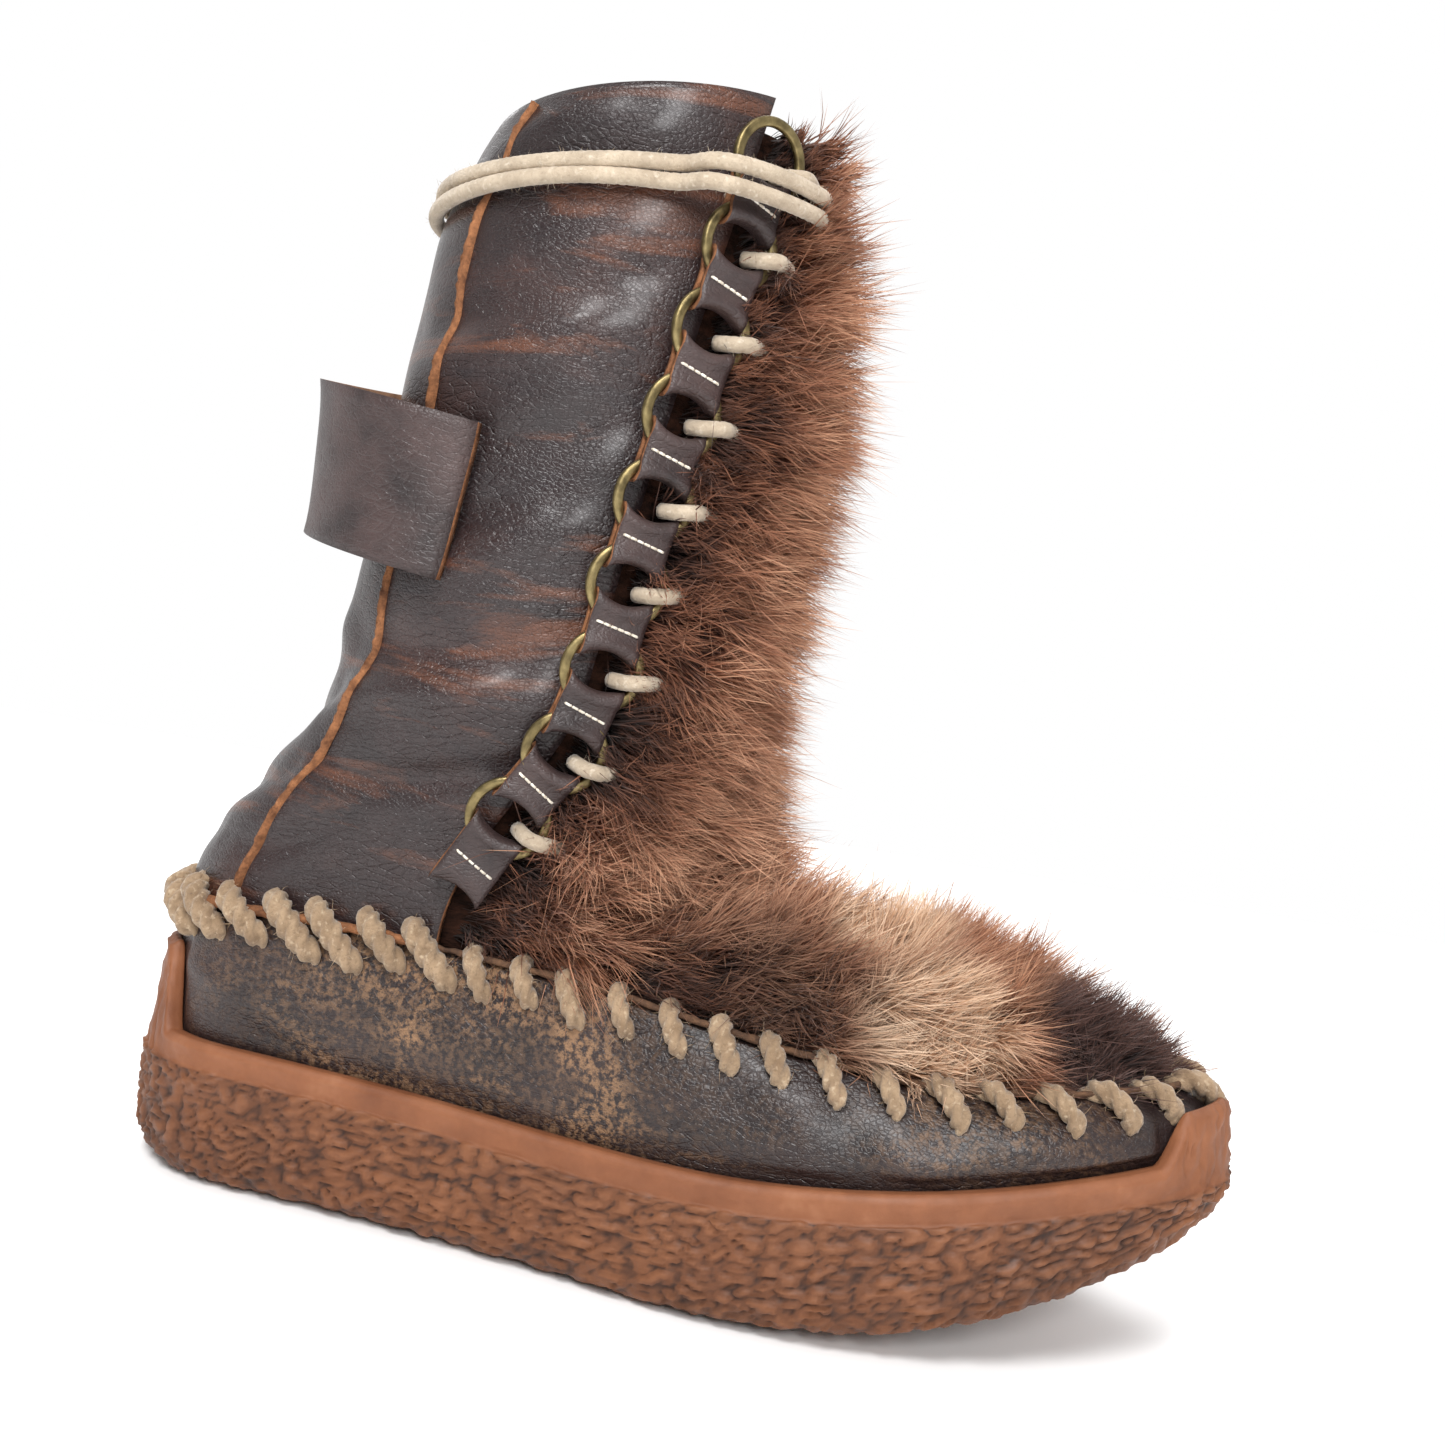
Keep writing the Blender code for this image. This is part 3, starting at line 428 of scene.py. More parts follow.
def fur_skin_row(row, across):
    table = columns(FUR_LINE)
    centre = np.array([smooth(row, table[0], table[1]), 0.0, smooth(row, table[0], table[2])]) * MM
    lateral = fur_edge(row, LATERAL)
    medial = fur_edge(row, MEDIAL)
    middle = (lateral + medial) / 2
    centre[1] = middle[1]
    half = math.radians(float(np.interp(row, [0, 0.4, 0.6, 1.0], [42, 55, 52, 38])))
    reach = (np.sin(np.abs(across) * half) / math.sin(half))[:, None]
    rise = ((np.cos(across * half) - math.cos(half)) / (1 - math.cos(half)))[:, None]
    edge = np.where(across[:, None] < 0, lateral, medial)
    return middle + (centre - middle) * rise + (edge - middle) * reach


class Skin:
    """Grid of the hide's outer face, with its normals, cell areas and distance from the side edges."""

    def __init__(self, rows, wide):
        self.rows = np.linspace(0, 1, rows)
        self.across = np.linspace(-1, 1, wide)
        self.points = np.array([fur_skin_row(r, self.across) for r in self.rows])
        cross = np.cross(np.gradient(self.points, axis=1), np.gradient(self.points, axis=0))
        self.area = np.linalg.norm(cross, axis=2)
        shin_faces_front = cross[rows * 3 // 4, wide // 2, 0] > 0
        self.normal = unit(cross if shin_faces_front else -cross)
        steps = np.linalg.norm(np.diff(self.points, axis=1), axis=2)
        arc = np.concatenate([np.zeros((rows, 1)), np.cumsum(steps, axis=1)], axis=1)
        self.to_edge = np.minimum(arc, arc[:, -1:] - arc)

    def read(self, grid, row, across):
        i = np.clip(row * (len(self.rows) - 1), 0, len(self.rows) - 1.001)
        j = np.clip((across + 1) / 2 * (len(self.across) - 1), 0, len(self.across) - 1.001)
        i0, j0 = i.astype(int), j.astype(int)
        a, b = i - i0, j - j0
        if grid.ndim == 3:
            a, b = a[:, None], b[:, None]
        low = mix(grid[i0, j0], grid[i0, j0 + 1], b)
        high = mix(grid[i0 + 1, j0], grid[i0 + 1, j0 + 1], b)
        return mix(low, high, a)


SKIN = Skin(150, 61)


# Mesh helpers

def mesh_object(name, points, faces, materials, smooth_shaded=True, indices=None, uvs=None):
    """Object from arrays: faces is one array of quads or triangles, or a list of such arrays."""
    groups = faces if isinstance(faces, list) else [faces]
    groups = [np.asarray(g, np.int32) for g in groups]
    mesh = bpy.data.meshes.new(name)
    points = np.asarray(points, np.float32).reshape(-1, 3)
    mesh.vertices.add(len(points))
    mesh.vertices.foreach_set("co", points.reshape(-1))
    loops = np.concatenate([g.reshape(-1) for g in groups])
    sizes = np.concatenate([np.full(len(g), g.shape[1], np.int32) for g in groups])
    starts = np.concatenate([[0], np.cumsum(sizes)[:-1]]).astype(np.int32)
    mesh.loops.add(len(loops))
    mesh.loops.foreach_set("vertex_index", loops)
    mesh.polygons.add(len(sizes))
    mesh.polygons.foreach_set("loop_start", starts)
    mesh.polygons.foreach_set("loop_total", sizes)
    if indices is not None:
        mesh.polygons.foreach_set("material_index", np.asarray(indices, np.int32))
    mesh.polygons.foreach_set("use_smooth", np.full(len(sizes), smooth_shaded))
    if uvs is not None:
        layer = mesh.uv_layers.new(name="UVMap")
        layer.data.foreach_set("uv", np.asarray(uvs, np.float32)[loops].reshape(-1))
    mesh.update(calc_edges=True)
    mesh.validate()
    for material in materials:
        mesh.materials.append(material)
    return linked(name, mesh)


def linked(name, data):
    obj = bpy.data.objects.new(name, data)
    bpy.context.scene.collection.objects.link(obj)
    return obj


def turned_out(obj):
    """Turns every face outward."""
    builder = bmesh.new()
    builder.from_mesh(obj.data)
    bmesh.ops.recalc_face_normals(builder, faces=builder.faces)
    builder.to_mesh(obj.data)
    builder.free()
    return obj


def grid_quads(first, rows, wide, closed=False, looped=False):
    """Quads of a grid of points stored row by row. Closed: each row is a ring. Looped: so is each column."""
    i, j = np.meshgrid(
        np.arange(rows if looped else rows - 1), np.arange(wide if closed else wide - 1), indexing="ij"
    )
    a = i * wide + j
    b = i * wide + (j + 1) % wide
    return first + np.stack([a, b, b + wide, a + wide], axis=-1).reshape(-1, 4) % (rows * wide)


def sheet_faces(rows, wide, first, second, rim, closed=False):
    """Faces of two grids of points, one behind the other, with joined rims, and their material numbers."""
    size = rows * wide
    i = np.arange(rows - 1) * wide
    j = np.arange(wide if closed else wide - 1)
    after = (j + 1) % wide
    rims = [(j, after), (j + size - wide, after + size - wide)]
    if not closed:
        rims += [(i, i + wide), (i + wide - 1, i + 2 * wide - 1)]
    quads = [grid_quads(0, rows, wide, closed), grid_quads(size, rows, wide, closed)[:, ::-1]]
    quads += [np.stack([a, b, b + size, a + size], axis=-1) for a, b in rims]
    numbers = [first, second] + [rim] * len(rims)
    return np.concatenate(quads), np.concatenate([np.full(len(q), n) for q, n in zip(quads, numbers)])


def frames_along(points, closed=False):
    """Directions along, and two across, of a path, with no twist."""
    if closed:
        way = unit(np.roll(points, -1, axis=0) - np.roll(points, 1, axis=0))
    else:
        way = unit(np.gradient(points, axis=0))
    side = [unit(np.cross(way[0], [0.31, 0.24, 0.92]))]
    for here in way[1:]:
        side.append(unit(side[-1] - here * float(side[-1] @ here)))
    side = np.array(side)
    if closed:
        start = side[0]
        end = unit(side[-1] - way[0] * float(side[-1] @ way[0]))
        gap = math.atan2(float(np.cross(end, start) @ way[0]), float(end @ start))
        turn = gap * np.arange(len(points)) / len(points)
        side = side * np.cos(turn)[:, None] + np.cross(way, side) * np.sin(turn)[:, None]
    return side, np.cross(way, side)


def rope(points, radius, sides, plies, lay, depth, closed=False, taper=1.0):
    """Points, quads and end triangles of a laid cord along a path; its strands wind once in each lay."""
    side, other = frames_along(points, closed)
    turn = np.linspace(0, 2 * math.pi, sides, endpoint=False)
    swirl = plies * (turn - 2 * math.pi * lengths_along(points)[:, None] / lay)
    size = radius * (1 - depth + depth * np.abs(np.cos(swirl / 2)) ** 0.7 * 1.6)
    size = size * np.broadcast_to(taper, len(points))[:, None]
    ring = side[:, None] * np.cos(turn)[:, None] + other[:, None] * np.sin(turn)[:, None]
    made = (points[:, None] + ring * size[:, :, None]).reshape(-1, 3)
    quads = grid_quads(0, len(points), sides, closed=True, looped=closed)
    if closed:
        return made, quads, None
    base = len(made)
    j = np.arange(sides)
    after = (j + 1) % sides
    caps = np.concatenate([
        np.stack([np.full(sides, base), after, j], axis=-1),
        np.stack([np.full(sides, base + 1), base - sides + j, base - sides + after], axis=-1),
    ])
    return np.concatenate([made, points[:1], points[-1:]]), quads, caps


class Joined:
    """Many small pieces gathered into one mesh."""

    def __init__(self):
        self.points = []
        self.quads = []
        self.tris = []
        self.count = 0

    def add(self, points, quads, tris):
        self.quads.append(quads + self.count)
        self.tris.append(tris + self.count)
        self.points.append(points)
        self.count += len(points)

    def make(self, name, material):
        faces = [np.concatenate(self.quads), np.concatenate(self.tris)]
        return mesh_object(name, np.concatenate(self.points), faces, [material])


def blades(roots, directions, bends, lengths, widths, rng):
    """Tapered hairs: points, quads, tips and their UVs, where V runs from root to tip and U is chance."""
    count = len(roots)
    segments = len(HAIR_WIDTHS)
    t = np.linspace(0, 1, segments + 1)
    path = (
        roots[:, None]
        + directions[:, None] * (lengths[:, None] * t)[..., None]
        + bends[:, None] * (lengths[:, None] * t**2)[..., None]
    )
    spin = unit(rng.standard_normal((count, 3)))
    half = widths[:, None, None] * 0.5 * np.array(HAIR_WIDTHS)[:, None]
    side = unit(np.cross(directions, spin))[:, None] * half
    per = 2 * segments + 1
    points = np.empty((count, per, 3))
    points[:, 0:-1:2] = path[:, :-1] - side
    points[:, 1:-1:2] = path[:, :-1] + side
    points[:, -1] = path[:, -1]
    base = np.arange(count)[:, None] * per
    quads = [
        np.concatenate([base + 2 * k, base + 2 * k + 1, base + 2 * k + 3, base + 2 * k + 2], axis=1)
        for k in range(segments - 1)
    ]
    tris = np.concatenate([base + per - 3, base + per - 2, base + per - 1], axis=1)
    uv = np.empty((count, per, 2))
    uv[:, :, 0] = rng.random(count)[:, None]
    uv[:, 0:-1:2, 1] = t[:-1]
    uv[:, 1:-1:2, 1] = t[:-1]
    uv[:, -1, 1] = 1.0
    return points.reshape(-1, 3), np.concatenate(quads), tris, uv.reshape(-1, 2)


# Materials

SHADER_INPUTS = {
    "sheen": "Sheen Weight",
    "coat": "Coat Weight",
    "coat_rough": "Coat Roughness",
    "specular": "Specular IOR Level",
}


class Nodes:
    """Short hand for a node material: each call adds a node and returns its output."""

    def __init__(self, name, metallic=0.0):
        self.material = bpy.data.materials.new(name)
        self.material.use_nodes = True
        self.tree = self.material.node_tree
        self.shader = self.tree.nodes["Principled BSDF"]
        self.shader.inputs["Metallic"].default_value = metallic
        self.where = self.tree.nodes.new("ShaderNodeTexCoord").outputs

    def put(self, socket, value):
        if isinstance(value, bpy.types.NodeSocket):
            self.tree.links.new(value, socket)
        elif isinstance(value, tuple) and socket.type == "RGBA":
            socket.default_value = (*value, 1.0)
        else:
            socket.default_value = value

    def node(self, kind, inputs, **settings):
        node = self.tree.nodes.new("ShaderNode" + kind)
        for key, value in settings.items():
            setattr(node, key, value)
        for key, value in inputs.items():
            self.put(node.inputs[key], value)
        return node

    def place(self, scale, turn=(0, 0, 0)):
        inputs = {"Vector": self.where["Object"], "Scale": scale, "Rotation": turn}
        return self.node("Mapping", inputs).outputs["Vector"]

    def noise(self, scale, detail=2.0, rough=0.5, vector=None, bend=0.0):
        inputs = {"Vector": vector or self.where["Object"], "Scale": scale, "Detail": detail}
        inputs |= {"Roughness": rough, "Distortion": bend}
        return self.node("TexNoise", inputs).outputs["Fac"]

    def cells(self, scale, vector, feature):
        inputs = {"Vector": vector, "Scale": scale}
        return self.node("TexVoronoi", inputs, feature=feature).outputs["Distance"]

    def ramp(self, value, *stops):
        node = self.node("ValToRGB", {"Fac": value})
        elements = node.color_ramp.elements
        while len(elements) < len(stops):
            elements.new(0.5)
        for element, (at, colour) in zip(elements, stops):
            element.position = at
            element.color = (*(colour if isinstance(colour, tuple) else (colour,) * 3), 1.0)
        return node.outputs["Color"]

    def blend(self, a, b, share):
        return self.node("Mix", {0: share, 6: a, 7: b}, data_type="RGBA").outputs[2]

    def times(self, a, b):
        return self.node("Math", {0: a, 1: b}, operation="MULTIPLY").outputs[0]

    def plus(self, a, b):
        return self.node("Math", {0: a, 1: b}, operation="ADD").outputs[0]

    def most(self, a, b):
        return self.node("Math", {0: a, 1: b}, operation="MAXIMUM").outputs[0]

    def hair_axis(self, name):
        return self.node("SeparateXYZ", {0: self.where["UV"]}).outputs[name]

    def near(self, point, reach):
        """1 at a point, down to 0 at this distance from it."""
        far = self.node("VectorMath", {0: self.where["Object"], 1: point}, operation="DISTANCE")
        inputs = {"Value": far.outputs["Value"], "From Min": 0.0, "From Max": reach}
        inputs |= {"To Min": 1.0, "To Max": 0.0}
        return self.node("MapRange", inputs, interpolation_type="SMOOTHSTEP").outputs[0]

    def attribute(self, name):
        return self.node("Attribute", {}, attribute_name=name).outputs["Fac"]

    def bump(self, height, distance, strength, normal=None):
        inputs = {"Strength": strength, "Distance": distance, "Height": height}
        if normal is not None:
            inputs["Normal"] = normal
        return self.node("Bump", inputs).outputs["Normal"]

    def finish(self, colour, roughness, normal=None, **fixed):
        self.put(self.shader.inputs["Base Color"], colour)
        self.put(self.shader.inputs["Roughness"], roughness)
        if normal is not None:
            self.put(self.shader.inputs["Normal"], normal)
        for key, value in fixed.items():
            self.shader.inputs[SHADER_INPUTS[key]].default_value = value
        return self.material


def srgb(r, g, b):
    """Linear colour of an 8-bit display colour."""
    return tuple(c / 12.92 / 255 if c <= 10 else ((c / 255 + 0.055) / 1.055) ** 2.4 for c in (r, g, b))


def leather_bumps(n, strength=1.0):
    """Fine grain and short wrinkles: the normal, and the grain for its colour."""
    grain = n.cells(780.0, n.place((1.0, 1.0, 1.35)), feature="DISTANCE_TO_EDGE")
    grain = n.ramp(grain, (0.0, 0.0), (0.16, 0.75), (0.5, 1.0))
    wrinkle = n.cells(230.0, n.place((1.0, 1.0, 2.3), (0.25, 0.3, 0.0)), feature="DISTANCE_TO_EDGE")
    wrinkle = n.ramp(wrinkle, (0.0, 0.0), (0.10, 0.8), (0.4, 1.0))
    fine = n.noise(2600.0, 2.0, 0.6)
    patch = n.ramp(n.noise(38.0, 3.0, 0.6), (0.40, 0.15), (0.62, 1.0))
    normal = n.bump(fine, 0.00012, 0.5 * strength)
    normal = n.bump(grain, 0.00020, 0.55 * strength, normal)
    return n.bump(n.blend((1, 1, 1), wrinkle, patch), 0.00042, 0.6 * strength, normal), grain


def shaft_leather():
    n = Nodes("shaft_leather")
    normal, grain = leather_bumps(n)
    streak = n.noise(17.0, 5.0, 0.62, n.place((0.9, 0.9, 4.6), (0.28, 0.42, 0.0)), 0.8)
    cloud = n.noise(24.0, 4.0, 0.6, None, 0.4)
    base = n.ramp(cloud, (0.30, srgb(27, 19, 20)), (0.52, srgb(42, 29, 29)), (0.72, srgb(62, 43, 40)))
    rust = n.ramp(streak, (0.54, 0.0), (0.66, 0.75), (0.80, 1.0))
    colour = n.blend(base, srgb(110, 66, 44), n.times(rust, 0.8))
    dark = n.ramp(streak, (0.30, 1.0), (0.44, 0.0))
    colour = n.blend(colour, srgb(34, 27, 30), n.times(dark, 0.75))
    colour = n.blend(colour, srgb(28, 21, 21), n.ramp(grain, (0.0, 0.45), (0.25, 0.0)))
    rough = n.ramp(n.noise(60.0, 3.0), (0.3, 0.30), (0.7, 0.44))
    return n.finish(colour, rough, normal, coat=0.25, coat_rough=0.24, specular=0.42)


def vamp_leather():
    n = Nodes("vamp_leather")
    normal, grain = leather_bumps(n, 0.8)
    cloud = n.noise(26.0, 4.0, 0.6, None, 0.5)
    base = n.ramp(cloud, (0.30, srgb(26, 18, 18)), (0.52, srgb(42, 31, 30)), (0.74, srgb(60, 46, 42)))
    speck = n.ramp(n.noise(560.0, 4.0, 0.7), (0.44, 0.0), (0.58, 1.0))
    worn = n.ramp(n.noise(24.0, 5.0, 0.65, n.place((1, 1, 1.4)), 0.6), (0.40, 0.0), (0.56, 1.0))
    middle = n.near((0.040, -0.040, 0.046), 0.105)
    middle_inner = n.near((0.060, 0.045, 0.046), 0.095)
    front = n.near((0.170, -0.038, 0.052), 0.045)
    where = n.most(n.most(middle, middle_inner), n.times(front, 0.6))
    share = n.times(n.times(speck, n.most(worn, 0.22)), where)
    colour = n.blend(base, srgb(150, 114, 82), n.times(share, 0.95))
    heel = n.near((-0.050, 0.0, 0.055), 0.055)
    colour = n.blend(colour, srgb(62, 42, 38), n.times(heel, 0.65))
    colour = n.blend(colour, srgb(24, 20, 22), n.ramp(grain, (0.0, 0.4), (0.22, 0.0)))
    rough = n.ramp(share, (0.0, 0.36), (1.0, 0.70))
    return n.finish(colour, rough, normal, coat=0.12, coat_rough=0.30, specular=0.42)


def plain_leather(name, dark, light, roughness):
    n = Nodes(name)
    normal, _ = leather_bumps(n, 0.7)
    colour = n.ramp(n.noise(60.0, 5.0, 0.6), (0.32, dark), (0.70, light))
    rough = n.ramp(n.noise(90.0, 2.0), (0.3, roughness - 0.06), (0.7, roughness + 0.08))
    return n.finish(colour, rough, normal, specular=0.5)


def raw_leather(name, dark, light):
    """Cut edge or flesh side."""
    n = Nodes(name)
    fibre = n.noise(1500.0, 4.0, 0.7)
    layer = n.noise(420.0, 3.0, 0.6, n.place((0.5, 0.5, 2.2)))
    colour = n.ramp(n.noise(260.0, 5.0, 0.7), (0.30, dark), (0.68, light))
    colour = n.blend(colour, dark, n.ramp(fibre, (0.32, 0.55), (0.5, 0.0)))
    normal = n.bump(layer, 0.0004, 0.6, n.bump(fibre, 0.00025, 0.7))
    return n.finish(colour, 0.88, normal, specular=0.25)


def crepe_rubber():
    n = Nodes("crepe_rubber")
    relief = n.attribute("relief")
    band = n.attribute("band")
    cloud = n.noise(30.0, 4.0, 0.6)
    side = n.ramp(cloud, (0.30, srgb(80, 47, 27)), (0.52, srgb(101, 60, 35)), (0.72, srgb(118, 73, 44)))
    # Painted shade in the creases between the crepe's scales, and a painted highlight on their tops, both
    # read from the relief
    side = n.blend(side, srgb(44, 24, 15), n.ramp(relief, (0.12, 1.0), (0.46, 0.0)))
    side = n.blend(side, srgb(146, 94, 61), n.ramp(relief, (0.60, 0.0), (1.0, 0.4)))
    stain = n.ramp(n.noise(55.0, 5.0, 0.7), (0.58, 0.0), (0.72, 0.5))
    side = n.blend(side, srgb(100, 62, 42), stain)
    rim = n.ramp(n.noise(48.0, 4.0, 0.65), (0.30, srgb(110, 64, 38)), (0.60, srgb(134, 83, 53)),
                 (0.78, srgb(154, 104, 73)))
    colour = n.blend(side, rim, band)
    fine = n.noise(900.0, 4.0, 0.65)
    rubber = n.cells(420.0, n.place((1.0, 1.0, 1.8)), feature="SMOOTH_F1")
    normal = n.bump(fine, 0.00018, 0.5)
    normal = n.bump(n.blend(rubber, (0.5, 0.5, 0.5), band), 0.0006, 0.45, normal)
    rough = n.ramp(n.noise(140.0, 3.0), (0.3, 0.50), (0.7, 0.68))
    return n.finish(colour, rough, normal, specular=0.4)


def cord_fibre(name, dark, light, tips):
    n = Nodes(name)
    ply = n.noise(1100.0, 3.0, 0.7)
    tone = n.noise(150.0, 4.0, 0.6)
    colour = n.ramp(tone, (0.28, dark), (0.66, light))
    colour = n.blend(colour, dark, n.ramp(ply, (0.30, 0.6), (0.5, 0.0)))
    colour = n.blend(colour, tips, n.ramp(n.noise(700.0, 2.0), (0.58, 0.0), (0.75, 0.6)))
    normal = n.bump(ply, 0.0004, 0.8)
    return n.finish(colour, 0.92, normal, specular=0.2, sheen=0.25)


def brass():
    n = Nodes("antique_brass", metallic=0.9)
    tone = n.noise(240.0, 4.0, 0.6)
    colour = n.ramp(tone, (0.30, srgb(84, 74, 50)), (0.55, srgb(132, 117, 80)), (0.78, srgb(172, 156, 112)))
    rough = n.ramp(n.noise(420.0, 3.0), (0.3, 0.30), (0.7, 0.50))
    normal = n.bump(n.noise(900.0, 3.0), 0.0001, 0.4)
    return n.finish(colour, rough, normal)


def fur_hair():
    """Dark roots, reddish brown hair with paler tips; a blond patch and a dark tuft near the toe."""
    n = Nodes("fur_hair")
    up = n.hair_axis("Y")
    chance = n.hair_axis("X")
    lock = n.noise(52.0, 3.0, 0.6, None, 0.6)
    tone = n.plus(n.times(lock, 0.70), n.times(chance, 0.55))
    middle = n.ramp(tone, (0.42, srgb(34, 21, 17)), (0.58, srgb(80, 45, 31)), (0.74, srgb(126, 75, 51)),
                    (0.92, srgb(158, 101, 72)))
    tip = n.ramp(tone, (0.40, srgb(78, 46, 34)), (0.58, srgb(150, 97, 70)), (0.86, srgb(208, 162, 130)))
    instep = n.near((0.108, 0.0, 0.105), 0.050)
    tip = n.blend(tip, srgb(212, 168, 138), n.times(instep, 0.6))
    blond = n.most(n.near((0.152, -0.026, 0.074), 0.030), n.near((0.136, -0.006, 0.092), 0.026))
    blond = n.ramp(n.times(blond, n.plus(chance, 0.35)), (0.12, 0.0), (0.55, 1.0))
    middle = n.blend(middle, srgb(184, 138, 102), blond)
    tip = n.blend(tip, srgb(234, 206, 178), blond)
    tuft = n.near((0.196, -0.004, 0.075), 0.038)
    tuft = n.ramp(n.times(tuft, n.plus(chance, 0.45)), (0.14, 0.0), (0.50, 1.0))
    middle = n.blend(middle, srgb(44, 31, 29), tuft)
    tip = n.blend(tip, srgb(92, 64, 56), tuft)
    low = n.near((0.112, -0.040, 0.070), 0.042)
    middle = n.blend(middle, srgb(30, 20, 18), n.times(low, 0.9))
    tip = n.blend(tip, srgb(70, 44, 34), n.times(low, 0.8))
    colour = n.blend(srgb(26, 17, 14), middle, n.ramp(up, (0.08, 0.0), (0.42, 1.0)))
    colour = n.blend(colour, tip, n.ramp(up, (0.52, 0.0), (0.92, 1.0)))
    return n.finish(colour, 0.58, specular=0.35, sheen=0.1)


def fur_under():
    n = Nodes("fur_under")
    streak = n.noise(240.0, 5.0, 0.7, n.place((0.5, 1.6, 1.6)))
    colour = n.ramp(streak, (0.35, srgb(18, 12, 10)), (0.70, srgb(62, 38, 28)))
    normal = n.bump(streak, 0.0015, 0.8)
    return n.finish(colour, 0.95, normal, specular=0.1)


def insole_board():
    n = Nodes("insole_board")
    colour = n.ramp(n.noise(120.0, 5.0, 0.65), (0.30, srgb(124, 94, 66)), (0.70, srgb(166, 132, 98)))
    normal = n.bump(n.noise(1500.0, 3.0), 0.0003, 0.6)
    return n.finish(colour, 0.9, normal, specular=0.2)


def thread():
    n = Nodes("white_thread")
    colour = n.ramp(n.noise(900.0, 2.0), (0.35, srgb(196, 184, 166)), (0.65, srgb(236, 230, 218)))
    return n.finish(colour, 0.75, n.bump(n.noise(2600.0, 2.0), 0.0001, 0.6), specular=0.3)


def floor_paint():
    n = Nodes("floor")
    colour = n.ramp(n.noise(3.0, 2.0), (0.3, (0.94, 0.94, 0.94)), (0.7, (0.96, 0.96, 0.96)))
    return n.finish(colour, 0.85, specular=0.1)


SHAFT_LEATHER = shaft_leather()
VAMP_LEATHER = vamp_leather()
LINK_LEATHER_FACE = plain_leather("link_leather", srgb(40, 31, 31), srgb(72, 56, 54), 0.42)
LINING = raw_leather("flesh_side", srgb(92, 66, 50), srgb(138, 104, 80))
RAW_EDGE = raw_leather("cut_edge", srgb(78, 48, 32), srgb(158, 106, 70))
DARK_EDGE = raw_leather("dark_edge", srgb(52, 38, 32), srgb(112, 82, 60))
CREPE = crepe_rubber()
STITCH_CORD = cord_fibre("stitch_cord", srgb(118, 96, 74), srgb(162, 138, 111), srgb(196, 176, 150))
LACE_CORD = cord_fibre("lace_cord", srgb(156, 140, 120), srgb(190, 174, 153), srgb(212, 200, 182))
BRASS = brass()
HAIR = fur_hair()
UNDER = fur_under()
BOARD = insole_board()
THREAD = thread()


def dress(obj, slot, *replaced):
    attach(obj, "root")
    if replaced:
        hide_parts(*replaced)
    return obj


# Sole

def crepe_relief(along, up):
    """Wavy scales of the crepe: 0 in the creases between them, 1 on their tops."""

    def scales(x, y, layer):
        return noise_at(np.stack([x, y, np.full(x.shape, layer)], axis=-1))

    warp = 2.4 * scales(along / 11, up / 7, 3.1)
    warp_up = 1.3 * scales(along / 6, up / 6, 9.7)
    first = np.abs(scales((along + warp) / 5.2, (up + warp_up) / 2.35, 0.0))
    second = np.abs(scales((along - warp) / 2.6, (up - warp_up) / 1.5, 5.5))
    return 0.82 * np.minimum(1.0, first * 2.3 + 0.10) + 0.18 * np.minimum(1.0, second * 2.2)


